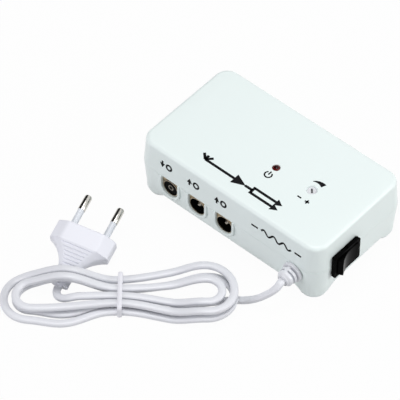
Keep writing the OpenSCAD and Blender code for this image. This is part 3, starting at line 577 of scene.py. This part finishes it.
# %% Plug body
s = np.concatenate([np.linspace(0, BLOCK_L, 24), np.linspace(BLOCK_L + 0.12, PLUG_L, 190)])
to_flat = 1 - np.clip(s / FACE_ROUND, 0, 1)
face_inset = FACE_ROUND * (1 - np.sqrt(1 - to_flat**2))
half_w, half_t = plug_half_width(s) - face_inset, plug_half_thick(s) - face_inset
cut_w, cut_t = np.minimum(CUT_W, 0.38 * half_w), np.minimum(CUT_T, 0.56 * half_t)
x, z = np.moveaxis(eight_sided(half_w, half_t, cut_w, cut_t), -1, 0)
rib_pitch = (TAPER_END - BLOCK_L - 1.4) / RIBS
wave = 0.5 - 0.5 * np.cos(2 * np.pi * (s - BLOCK_L - 1.2) / rib_pitch)
pressed = ease((s - BLOCK_L - 0.6) / 0.4) * ease((TAPER_END - 0.6 - s) / 0.6) * ease((0.45 - wave) / 0.3)
inside_cuts = ease(((half_w - cut_w)[:, None] + 0.1 - np.abs(x)) / 0.6)
on_flat = inside_cuts * ease((np.abs(z) / half_t[:, None] - 0.9) / 0.08)
z = z - np.sign(z) * RIB_DEEP * pressed[:, None] * on_flat
body_grid = np.stack([x, -s[:, None] + 0 * x, z], -1)
face_ring = body_grid[:1]
middle = face_ring.mean(axis=1, keepdims=True)
face_rows = np.concatenate([middle + (face_ring - middle) * k for k in (0, 0.3, 0.6, 0.85, 0.97)])
end_row = body_grid[-1:].mean(axis=1, keepdims=True) + 0 * body_grid[-1:]
plug_grid = in_plug(np.concatenate([face_rows, body_grid, end_row]))
plug = dress(smooth(surface("plug_moulding", plug_grid), 42), plug_white, ["plug_body"])

# %% [markdown]
# ## Strain relief
# Where the cord leaves the case a soft collar keeps it from kinking: a flange against the wall, then
# ribs with slots between them that let it bend, and a taper. It is a turned profile whose slots are
# filled again on two sides, as the real one's webs do. Booleans could cut the slots, but one grid
# keeps their edges soft.

# %% Ribbed collar
RELIEF_Y, RELIEF_L, RELIEF_IN = -34.05, 8.0, 3.7
KEY_R, FLANGE_R, RIB_R, CORE_R, FLANGE_T = 3.75, 5.6, 4.75, 2.8, 1.75
SLOTS, WEB_TURN, WEB_HALF, EDGE = ((1.8, 2.75), (4.15, 5.05)), 1.8, 0.2, 0.12

t = np.concatenate([np.linspace(-RELIEF_IN, 0, 8), np.linspace(0.02, RELIEF_L, 200)])
# Key, flange and ribs, then a slow taper and a round nose, and a nick behind the flange
solid = (KEY_R + (FLANGE_R - KEY_R) * ease(t / EDGE + 0.5)
         + (RIB_R - FLANGE_R) * ease((t - FLANGE_T) / EDGE + 0.5))
solid = solid - 0.35 * ease((t - 2.5) / 4) - 1.25 * ease((t - 6.1) / 1.9) ** 1.4
solid = solid - 0.25 * hump(t, FLANGE_T, 0.3) * (t > 1.5)
core = np.minimum(solid, CORE_R)
turn = round_turn(96)
slots = np.zeros((len(t), len(turn)))
for low, high in SLOTS:
    band = ease((t - low) / 0.15 + 0.5) * ease((high - t) / 0.15 + 0.5)
    slots += band[:, None] * ease((np.abs(np.sin(turn - WEB_TURN)) - WEB_HALF) / 0.1)[None]
reach = solid[:, None] + (core - solid)[:, None] * slots
collar_grid = np.stack([EXIT[0] + reach * np.cos(turn), RELIEF_Y - t[:, None] + 0 * reach,
                        EXIT[2] + reach * np.sin(turn)], -1)
collar = dress(smooth(surface("relief_collar", capped(collar_grid)), 50), cord_white,
               ["strain_relief"])

# %% [markdown]
# ## Case outline
# Every level of the case is the same rounded rectangle, drawn in more or less. A ring is a fixed line
# through the corner centres plus an outward step, so rings at all levels match point for point.

# %% Rings of the case
CASE_L, CASE_W, CORNER, WALL = 118.0, 68.0, 9.0, 2.2
FOOT_H, FLOOR_Z, PART_Z, CASE_H = 4.6, 6.8, 21.3, 38.0
COVER_DRAFT, TRAY_DRAFT, TOP_ROUND = 1.4, 1.3, 2.0
CX, CY = CASE_L / 2 - CORNER, CASE_W / 2 - CORNER


def outline_parts(in_corner=18, on_long=56, on_short=34):
    """Skeleton points and outward directions once round: four straight sides and four quarter turns."""
    corners = np.array([[CX, CY], [-CX, CY], [-CX, -CY], [CX, -CY]])
    skeleton, out = [], []
    for k, count in enumerate((on_long, on_short, on_long, on_short)):
        a = np.linspace(0, np.pi / 2, in_corner) + k * np.pi / 2
        round_corner = circle(a)
        at, ahead = corners[k], corners[(k + 1) % 4]
        share = np.linspace(0, 1, count)[1:-1, None]
        skeleton += [at + 0 * round_corner, at + (ahead - at) * share]
        out += [round_corner, round_corner[-1] + np.zeros((count - 2, 2))]
    return np.concatenate(skeleton), np.concatenate(out)


skeleton, facing = outline_parts()


def lean(z):
    """How far the wall is drawn in at a height: nothing at the parting line, growing up and down."""
    return np.where(z > PART_Z, COVER_DRAFT * (z - PART_Z) / (CASE_H - PART_Z),
                    TRAY_DRAFT * (PART_Z - z) / (PART_Z - FOOT_H))


def rings(inset, z):
    """Case rings: the skeleton plus the corner radius less the inset, at a height that may vary round."""
    inset, z = np.asarray(inset, float)[:, None], np.asarray(z, float)
    z = z[:, None] + np.zeros(len(skeleton)) if z.ndim == 1 else z
    flat = skeleton[None] + (CORNER - inset)[..., None] * facing[None]
    return np.concatenate([flat, z[..., None]], -1)


def plate(ring, shares):
    """Rows of a flat plate: a ring drawn in towards its middle by each share."""
    middle = ring.mean(axis=0) * [0, 0, 1]
    return middle + (ring - middle)[None] * np.asarray(shares)[:, None, None] ** np.array([1, 1, 0])


print("ring points:", len(skeleton))

# %% [markdown]
# ## Cutting openings
# Holes are cut with closed tools and Blender's exact Boolean, applied at once so that the finished mesh
# stands alone. A tool is also a grid: a turned profile, or an outline pushed along one axis.

# %% Tools for openings
def turned(profile, at, count=72):
    """Turned tool about +Z: radius and height pairs carried round, at a place in plan."""
    r, z = np.asarray(profile, float).T[..., None, None]
    flat = at + r * circle(round_turn(count))
    return np.concatenate([flat, z + 0 * flat[..., :1]], -1)


def pushed(outline, low, high, axis):
    """An outline of two coordinates pushed along an axis between two places, with closed ends."""
    rows = np.stack([np.insert(outline, axis, v, axis=1) for v in (low, high)])
    return capped(rows)


def u_outline(radius, rise, x, z):
    """Opening with a round foot: half a circle below the axis and straight sides up to the rise."""
    foot = circle(np.linspace(np.pi, 2 * np.pi, 49)) * radius
    return np.concatenate([foot, [[radius, rise], [-radius, rise]]]) + [x, z]


def cut(piece, tool_grids):
    """Takes each tool's space out of a piece with an exact Boolean, and keeps the result as its mesh."""
    for grid in tool_grids:
        tool = surface("tool", grid)
        step = piece.modifiers.new("opening", "BOOLEAN")
        step.object, step.operation, step.solver = tool, "DIFFERENCE", "EXACT"
        result = bpy.data.meshes.new_from_object(piece.evaluated_get(bpy.context.evaluated_depsgraph_get()))
        piece.modifiers.clear()
        piece.data = result
        bpy.data.objects.remove(tool)
    return piece

# %% [markdown]
# ## Cover
# The cover is a white moulding with slightly leaning walls and a soft top edge. Rings run from the
# middle of the top, over the round, down the wall, across the rim and back up inside to the roof.
# One closed grid has no seams. The lamp hole, the gain control's dish and the switch opening are cut.

# %% Cover shell
LED_XY, GAIN_XY, SWITCH_Y, SWITCH_Z = (6.6, -3.5), (29.1, -3.0), -13.4, 20.5
LED_HOLE_R, LED_RIM_R, GAIN_HOLE_R, GAIN_DISH_R = 2.06, 2.24, 2.58, 2.96
SWITCH_W, SWITCH_H, SWITCH_CORNER, END_WALL, FRONT_WALL = 18.2, 13.2, 0.6, (45, 70), (-45, -28)
arc = np.radians(np.linspace(90, 0, 12))
round_z = CASE_H - TOP_ROUND + TOP_ROUND * np.sin(arc)
wall_z = np.linspace(CASE_H - TOP_ROUND, PART_Z + 0.12, 10)[1:]
inner_z = np.linspace(PART_Z + 0.05, CASE_H - WALL - 1.0, 6)
rim_inset, rim_step = [0.03, 0.10, WALL - 0.2], np.array([0.05, 0.02, 0.02])
skin = rings(np.concatenate([lean(round_z) + TOP_ROUND * (1 - np.cos(arc)), lean(wall_z), rim_inset]),
             np.concatenate([round_z, wall_z, PART_Z + rim_step]))
inside = rings(WALL + lean(inner_z), inner_z)
roof = rings([WALL + COVER_DRAFT], [CASE_H - WALL])
cover_grid = np.concatenate([plate(skin[0], np.linspace(0, 1, 9)[:-1]), skin, inside,
                             plate(roof[0], np.linspace(1, 0, 7))])
cover = surface("cover_shell", cover_grid)


def rimmed_hole(radius, rim, deep, at):
    """Tool for a round hole through the top, whose rim opens out over the last stretch."""
    low, high = CASE_H - 8, CASE_H + 3
    return turned([(0, low), (radius, low), (radius, CASE_H - deep), (rim, CASE_H + 0.02), (rim, high),
                   (0, high)], at)


switch_line = ring_line(SWITCH_W, SWITCH_H, SWITCH_CORNER, 64)[0]
switch_hole = pushed(switch_line + [SWITCH_Y, SWITCH_Z], *END_WALL, 0)
cut(cover, [rimmed_hole(LED_HOLE_R, LED_RIM_R, 0.2, LED_XY),
            rimmed_hole(GAIN_HOLE_R, GAIN_DISH_R, 0.6, GAIN_XY), switch_hole])
dress(smooth(cover), case_white, ["upper_cover"])

# %% [markdown]
# ## Tray
# The tray's wall runs down into four corner feet, with the lower edge sweeping up between them in a
# hollow curve. Its underside is a height over the plan: low under each foot, rising away from it, so
# no foot is made by itself. The three socket openings have round feet and raised lips.

# %% Tray shell
SOCKET_X, SOCKET_Z, OPENING_R, OPENING_TOP, LIP_RISE = (-36.9, -19.0, -1.1), 15.0, 5.3, 12, 6.22
SOLE_R, SOLE_ROUND, SOLE_RISE, SWEEP, CURL = 5.9, 1.8, 1.7, 3.4, 0.7
SCREW_XY, SCREW_WELL_R, SCREW_WELL_TOP, RELIEF_SLOT = ((-50.5, 0), (48, 18)), 3.1, 9.6, 7.8


def underside(xy):
    """Height of the underside: 0 under a foot, a rounded sole edge, then a hollow sweep up to the floor."""
    d = np.hypot(np.abs(xy[..., 0]) - CX, np.abs(xy[..., 1]) - CY)
    sole = SOLE_RISE * (1 - np.sqrt(1 - np.clip((d - SOLE_R) / SOLE_ROUND, 0, 1) ** 2))
    past = np.clip((d - SOLE_R - SOLE_ROUND) / SWEEP, 0, 1)
    return sole + (FOOT_H - SOLE_RISE) * (1 - (1 - past) ** 2)


edge_ring = rings([TRAY_DRAFT], [FOOT_H])[0]
edge_z = underside(edge_ring[:, :2])
fall = np.linspace(0, 1, 14)[:, None]
tray_z = PART_Z - 0.12 - fall * (PART_Z - 0.12 - edge_z - CURL)
tray_rows = skeleton[None] + (CORNER - lean(np.maximum(tray_z, FOOT_H)))[..., None] * facing[None]
tray_wall = np.concatenate([tray_rows, tray_z[..., None]], -1)
curl = np.radians(np.linspace(15, 90, 6))[:, None]
curl_inset = TRAY_DRAFT + CURL * (1 - np.cos(curl)) + 0 * edge_z
curl_rows = np.concatenate([skeleton[None] + (CORNER - curl_inset)[..., None] * facing[None],
                            (edge_z + CURL * (1 - np.sin(curl)))[..., None]], -1)
sole_rows = plate(curl_rows[-1], 1 - np.linspace(0, 1, 60)[1:] ** 1.3)
sole_rows[..., 2] = underside(sole_rows[..., :2])
rim = rings(rim_inset[::-1], PART_Z - rim_step[::-1])
inner_z = np.linspace(FLOOR_Z + 0.8, PART_Z - 0.05, 6)
inner = rings(WALL + lean(inner_z), inner_z)
floor = rings([WALL + TRAY_DRAFT + 0.8], [FLOOR_Z])
tray = surface("tray_shell", np.concatenate([plate(floor[0], np.linspace(0, 1, 7)), inner, rim, tray_wall,
                                             curl_rows, sole_rows]))
socket_holes = [pushed(u_outline(OPENING_R, OPENING_TOP, x, SOCKET_Z), *FRONT_WALL, 1) for x in SOCKET_X]
relief_line = ring_line(RELIEF_SLOT, RELIEF_SLOT, RELIEF_SLOT / 2 - 0.02, 64)[0]
relief_hole = pushed(relief_line + EXIT[[0, 2]], *FRONT_WALL, 1)
well = [(0, -1), (SCREW_WELL_R, -1), (SCREW_WELL_R, SCREW_WELL_TOP), (0, SCREW_WELL_TOP)]
cut(tray, [*socket_holes, relief_hole, switch_hole, *[turned(well, at) for at in SCREW_XY]])
dress(smooth(tray), case_white, ["lower_case"])

# %% Lips round the socket openings
def lip(x):
    """Raised lip: a bead, given by distance from the opening's middle line and depth, is carried down one
    side of the opening, round its foot and up the other."""
    foot = circle(np.linspace(np.pi, 2 * np.pi, 41))
    up = np.linspace(LIP_RISE, 0, 10)[:-1]
    side = np.stack([0 * up, up], -1)
    out = np.concatenate([foot[0] + 0 * side, foot, foot[-1] + 0 * side])
    base = np.concatenate([side, 0 * foot, side[::-1]])
    bead = np.array([[5.24, -32.2], [5.24, -34.1], [5.36, -34.34], [5.65, -34.46], [6.4, -34.46],
                     [6.75, -34.3], [6.88, -34.0], [6.9, -33.2], [6.9, -32.2]])
    flat = base[:, None] + out[:, None] * bead[None, :, :1]
    y = bead[None, :, 1] + 0 * flat[..., 0]
    return capped(np.stack([x + flat[..., 0], y, SOCKET_Z + flat[..., 1]], -1))


for number, x in enumerate(SOCKET_X, 1):
    dress(smooth(surface(f"socket_lip_{number}", lip(x)), 50), case_white)

# %% [markdown]
# ## CAD pieces that only need honing
# Turned metal and the switch have the right shape already. Their meshes are loose triangles, which show
# every facet. A merged copy with flat faces joined, a small bevel on its edges and smooth shading takes
# the light as the real piece does.

# %% Honed copies
def honed(node, material, bevel=0.0, body="case", sharp_over=30):
    """Copy of a CAD node: its points merged, its flat faces joined, and its edges bevelled in mm."""
    shape = bmesh.new()
    shape.from_mesh(nodes[node].data)
    bmesh.ops.remove_doubles(shape, verts=shape.verts, dist=2e-6)
    bmesh.ops.dissolve_limit(shape, angle_limit=math.radians(0.6), verts=shape.verts, edges=shape.edges)
    shape.verts.index_update()
    mesh = bpy.data.meshes.new(node + "_honed")
    mesh.from_pydata([v.co[:] for v in shape.verts], [], [[v.index for v in f.verts] for f in shape.faces])
    shape.free()
    piece = placed(node + "_honed", mesh)
    if bevel:
        step = piece.modifiers.new("soft_edge", "BEVEL")
        step.width, step.segments, step.angle_limit = bevel * MM, 3, math.radians(sharp_over)
        step.harden_normals = True
    return dress(smooth(piece, sharp_over), material, [node], body)


shell_nickel = finish_of("shell_nickel", (0.50, 0.42, 0.32), 0.30, mottle=0.10, patch=0.004, grain=0.0003,
                         depth=4e-6, Metallic=1.0)
socket_black = finish_of("socket_black", (0.003, 0.003, 0.003), 0.6, mottle=0.3, patch=0.004,
                         Specular_IOR_Level=0.03)
contact_plate = finish_of("contact_plate", (0.34, 0.31, 0.27), 0.28, mottle=0.15, patch=0.003, grain=0.0004,
                          depth=2e-6, drift=0.06, Metallic=1.0)
pin_plate = finish_of("pin_plate", (0.62, 0.60, 0.56), 0.14, mottle=0.10, patch=0.004, grain=0.0004,
                      depth=1e-6, drift=0.05, Metallic=1.0)
CENTRES = {"input": "input_contact", "output_1": "output_1_pin", "output_2": "output_2_pin"}
for side, centre in CENTRES.items():
    honed(side + "_shell", shell_nickel)
    honed(side + "_insulator", socket_black)
    honed(centre, contact_plate)
pins = honed("plug_pins", pin_plate)

# %% [markdown]
# ## Behind the socket openings
# Above each shell a strip of its metal bracket shows, tan in the shade of the cover. Inside the two hollow
# shells a dark film paints the shade of their depth. A thin plate and a film are rings of four rows: a
# radius and a depth each.

# %% Plates, and films of painted shade
PLATE_HOLE_R, PLATE_R, PLATE_TOP, PLATE_Y = 5.12, 5.2, 6.2, (-33.0, -32.7)
SHADE_FILM_R, SHADE_FILM_Y = (4.765, 4.795), (-32.9, -24.35)
plate_tan = finish_of("plate_tan", (0.34, 0.26, 0.15), 0.38, mottle=0.12, patch=0.004, Metallic=0.3)


def ring_solid(name, x, a, inner, outer, front, back):
    """Closed ring about a socket's axis: an inner and an outer radius, which may change with the angle."""
    rows = [np.stack([x + r * np.cos(a), y + 0 * a, SOCKET_Z + r * np.sin(a)], -1)
            for r, y in ((inner, front), (outer, front), (outer, back), (inner, back))]
    return smooth(surface(name, np.array(rows), (True, True)))


def plate_reach(a):
    """Outer radius of a plate: round below the axis, and out to straight sides and a top above it."""
    c, n = np.maximum(np.abs(np.cos(a)), 1e-6), np.maximum(np.sin(a), 1e-6)
    return np.where(np.sin(a) > 0, np.minimum(PLATE_R / c, PLATE_TOP / n), PLATE_R)


for number, x in enumerate(SOCKET_X, 1):
    turn = round_turn(96)
    bracket = ring_solid(f"socket_plate_{number}", x, turn, PLATE_HOLE_R, plate_reach(turn), *PLATE_Y)
    dress(bracket, plate_tan)
# Painted shade: a dark film inside each hollow shell stands for the shade of its depth.
for number, x in enumerate(SOCKET_X[1:], 1):
    film = ring_solid(f"socket_painted_shade_{number}", x, round_turn(72), *SHADE_FILM_R, *SHADE_FILM_Y)
    dress(film, socket_black)

# %% Sleeves on the plug's pins
sleeve_white = finish_of("sleeve_white", (0.66, 0.69, 0.74), 0.35, mottle=0.02, patch=0.006)
sleeves = honed("plug_sleeves", sleeve_white)

# %% [markdown]
# ## Switch, lamp and gain control
# The switch is nearly black all over, so its plastics have hardly any gloss. The lamp's lens is a dark red
# dome with painted shade, darkest on top, and the gain control's slot has painted shade, darker with depth.

# %% Switch
switch_black = finish_of("switch_black", (0.0015, 0.0015, 0.0015), 0.5, mottle=0.15, patch=0.01, depth=8e-6,
                         Specular_IOR_Level=0.015)
rocker_black = finish_of("rocker_black", (0.002, 0.002, 0.002), 0.16, mottle=0.15, patch=0.01, depth=2e-6,
                         Specular_IOR_Level=0.012)
honed("switch_housing", switch_black, bevel=0.25)
honed("switch_rocker", rocker_black, bevel=0.3, body="rocker")

# %% Lamp, gain control and screws
# Painted shade on the lens: its red is darkened towards the top of the dome.
lamp_red = finish_of("lamp_red", (0.22, 0.010, 0.008), 0.16, mottle=0.2, patch=0.002, depth=1e-6,
                     shade_by_height=(0.0384, 0.0375, 0.06), Specular_IOR_Level=0.2)
# Painted shade in the gain control's slot: the white darkens with depth.
shaft_white = finish_of("shaft_white", (0.68, 0.69, 0.72), 0.45, mottle=0.03, patch=0.004,
                        shade_by_height=(0.0360, 0.0372, 0.25))
screw_steel = finish_of("screw_steel", (0.55, 0.55, 0.56), 0.28, mottle=0.08, patch=0.003, Metallic=1.0)
LENS_R, LENS_Z, LENS_RISE, LENS_FOOT = 1.97, 37.1, 1.45, 30.1
dome = np.linspace(0, np.pi / 2, 16)
lens = np.concatenate([np.stack([LENS_R * np.sin(dome), LENS_Z + LENS_RISE * np.cos(dome)], -1),
                       [[LENS_R, LENS_FOOT], [0, LENS_FOOT]]])
dress(smooth(surface("lamp_lens", turned(lens, LED_XY, 48)), 50), lamp_red, ["power_led"])
honed("gain_shaft", shaft_white, bevel=0.15, body="gain")
honed("case_screws", screw_steel)

# %% [markdown]
# ## Printed marks
# Ink on the case is a film a few hundredths of a millimetre thick. Each mark is a ribbon: a line with a
# width that may change along it. It follows the leaning side, which a flat text object would not. Plain
# signs stand where such products carry print: arrows at the sockets, a lamp sign, a wedge at the gain
# control, a wave at the cord and a circuit sign.

# %% Ribbons of ink
INK = 0.04
HEAD_L, HEAD_W = 2.6, 3.0


def ribbon(line, width, place):
    """Flat ribbon: a line with half its width laid off square to each side, lifted by the ink's
    thickness. Its two ends and its underside are closed."""
    line = np.asarray(line, float)
    along = unit(np.gradient(line, axis=0))
    square = np.stack([-along[:, 1], along[:, 0]], -1)
    half = (np.zeros(len(line)) + width)[:, None] / 2
    left, right = line + square * half, line - square * half
    rows = np.stack([place(left, -INK), place(left, INK), place(right, INK), place(right, -INK)], 1)
    return capped(rows)


def on_top(p, lift):
    """Marks on the top face, in its own plan coordinates."""
    return np.concatenate([p, np.full((len(p), 1), CASE_H + lift)], -1)


def on_front(p, lift):
    """Marks on the leaning socket side: first coordinate along the case, second up."""
    y = -(CASE_W / 2 - lean(p[:, 1])) - lift
    return np.stack([p[:, 0], y, p[:, 1]], -1)


def bar(a, b, count=2):
    """Straight line of points from a to b."""
    return np.linspace(a, b, count)


def bow(at, radius, start, end, count=32):
    """Arc of points about a place, between two angles in degrees. The radius may change along it."""
    return at + radius * circle(np.radians(np.linspace(start, end, count)))


def arrow(a, b, width, place):
    """An arrow: a shaft of even width, and a head whose width falls to a point."""
    a, b = np.asarray(a, float), np.asarray(b, float)
    neck = b - unit(b - a) * HEAD_L * width
    head = np.linspace(HEAD_W * width, 0.05, 6)
    return [ribbon(bar(a, neck), width, place), ribbon(bar(neck, b, 6), head, place)]


# %% Marks on the socket side
FRONT_ROW, FRONT_PEN, WAVE_ROW = 29.6, 1.1, 29.0
ARROW_LEFT, ARROW_HALF, RING_LEFT, RING_R = 5.2, 2.2, 0.9, 1.6
WAVE_FROM, WAVE_TO, WAVES, WAVE_H, DASHES, DASH_L = 22.5, 41.5, 3, 1.3, (16.2, 43.8), 4.2
marks = []
for x, way in zip(SOCKET_X, (-1, 1, 1)):
    to_tip = np.array([0, ARROW_HALF * way])
    arrow_at, ring_at = np.array([x - ARROW_LEFT, FRONT_ROW]), (x - RING_LEFT, FRONT_ROW)
    marks += arrow(arrow_at - to_tip, arrow_at + to_tip, FRONT_PEN, on_front)
    marks += [ribbon(bow(ring_at, RING_R, 0, 360), FRONT_PEN, on_front)]
share = np.linspace(0, 1, 90)
wave_line = np.stack([WAVE_FROM + (WAVE_TO - WAVE_FROM) * share,
                      WAVE_ROW + WAVE_H * np.sin(2 * np.pi * WAVES * share)], -1)
marks += [ribbon(wave_line, FRONT_PEN, on_front)]
marks += [ribbon(bar((x, WAVE_ROW), (x + DASH_L, WAVE_ROW)), FRONT_PEN, on_front) for x in DASHES]
print("marks on the socket side:", len(marks))

# %% Marks on the top
LAMP_ROW, LAMP_R, LAMP_PEN, LAMP_GAP = -9.6, 1.9, 0.8, (125, 415)
GAIN_ROW, GAIN_PEN, MINUS_X, PLUS_X, PLUS_HALF = -10.6, 0.85, (26.2, 28.6), 32.3, 1.3
lamp_sign = (LED_XY[0], LAMP_ROW)
marks += [ribbon(bow(lamp_sign, LAMP_R, *LAMP_GAP), LAMP_PEN, on_top),
          ribbon(bar(lamp_sign, (LED_XY[0], LAMP_ROW + 2.5)), LAMP_PEN, on_top)]
marks += [ribbon(bar(a, b), GAIN_PEN, on_top) for a, b in [
    ((MINUS_X[0], GAIN_ROW), (MINUS_X[1], GAIN_ROW)),
    ((PLUS_X - PLUS_HALF, GAIN_ROW), (PLUS_X + PLUS_HALF, GAIN_ROW)),
    ((PLUS_X, GAIN_ROW - PLUS_HALF), (PLUS_X, GAIN_ROW + PLUS_HALF))]]
WEDGE_TURN, WEDGE_R, WEDGE_W = (124, 62), (5.6, 6.25), (0.3, 3.0)
wedge = bow(GAIN_XY, np.linspace(*WEDGE_R, 32)[:, None], *WEDGE_TURN, 32)
marks += [ribbon(wedge, np.linspace(*WEDGE_W, 32), on_top)]

# %% Circuit sign: an aerial, an amplifier's triangle and a fork into two arrows
TITLE_Y, TITLE_PEN, ARM, FORK_HALF, FORK_ROW = -22.5, 1.5, 3, 2.5, 1.8
MAST_X, SIGN_X, SIGN_TIP, SIGN_H, OUT_X, FORK_X, TIP_X = -23.4, -4.4, 3, 6.4, 2.6, 7.4, 25
mast, fork = (MAST_X, TITLE_Y), (FORK_X, TITLE_Y)
lines = [(mast, (MAST_X + side, TITLE_Y + ARM)) for side in (0, -ARM, ARM)]
lines += [(mast, (SIGN_X, TITLE_Y)), ((OUT_X, TITLE_Y), fork),
          ((FORK_X, TITLE_Y - FORK_HALF), (FORK_X, TITLE_Y + FORK_HALF))]
marks += [ribbon(bar(a, b), TITLE_PEN, on_top) for a, b in lines]
marks += [ribbon(bar((SIGN_X, TITLE_Y), (SIGN_TIP, TITLE_Y), 8), np.linspace(SIGN_H, 0.1, 8), on_top)]
for y in (TITLE_Y - FORK_ROW, TITLE_Y + FORK_ROW):
    marks += arrow((FORK_X, y), (TIP_X, y), TITLE_PEN, on_top)
print("marks in all:", len(marks))

# %% One film of ink
ink_black = finish_of("ink_black", (0.006, 0.006, 0.007), 0.6, mottle=0.3, patch=0.002, grain=0.0003,
                      Specular_IOR_Level=0.08)
first, *rest = [surface(f"mark_{k}", grid) for k, grid in enumerate(marks)]
joined = bmesh.new()
for mark in [first, *rest]:
    joined.from_mesh(mark.data)
joined.to_mesh(first.data)
joined.free()
for mark in rest:
    bpy.data.objects.remove(mark)
first.name = "printed_marks"
dress(first, ink_black)

# %% [markdown]
# ## What is inside
# The closed case hides the board and the transformer, but they belong to the part and show when a user
# opens it. They keep their CAD shapes and get finishes of their own.

# %% Finishes of the inner pieces
inner_looks = {
    "circuit_board": finish_of("board_green", (0.03, 0.16, 0.07), 0.35, mottle=0.35, patch=0.003,
                               Coat_Weight=0.3),
    "board_screws": screw_steel,
    "transformer_core": finish_of("core_iron", (0.06, 0.065, 0.07), 0.5, mottle=0.4, patch=0.002,
                                  Metallic=0.6),
    "transformer_bobbin": finish_of("bobbin_cream", (0.68, 0.64, 0.50), 0.5, mottle=0.06, patch=0.01),
    "transformer_windings": finish_of("winding_copper", (0.50, 0.20, 0.07), 0.3, mottle=0.3, patch=0.0008,
                                      grain=0.0004, depth=4e-5, Metallic=0.9),
    "smoothing_capacitor": finish_of("can_sleeve", (0.02, 0.03, 0.12), 0.3, mottle=0.2, patch=0.006),
    "rectifier_diodes": socket_black,
    "rf_transistors": socket_black,
    "voltage_regulator": socket_black,
    "splitter_core": finish_of("ferrite_grey", (0.03, 0.03, 0.033), 0.6, mottle=0.4, patch=0.001),
    "led_legs": pin_plate,
    "gain_body": finish_of("trimmer_blue", (0.02, 0.07, 0.35), 0.35, mottle=0.1, patch=0.005),
    "switch_terminals": finish_of("terminal_brass", (0.60, 0.42, 0.15), 0.3, mottle=0.15, patch=0.003,
                                  Metallic=1.0),
    "mains_wires": finish_of("wire_brown", (0.13, 0.05, 0.02), 0.45, mottle=0.2, patch=0.01),
}
for node, material in inner_looks.items():
    nodes[node].data.materials.clear()
    nodes[node].data.materials.append(material)
print("inner pieces:", len(inner_looks))

# %% [markdown]
# ## The end
# The visual box of this model is printed.

# %% The visual box
low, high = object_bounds()
print("visual box, mm:", [round((b - a) / MM, 1) for a, b in zip(low, high)])
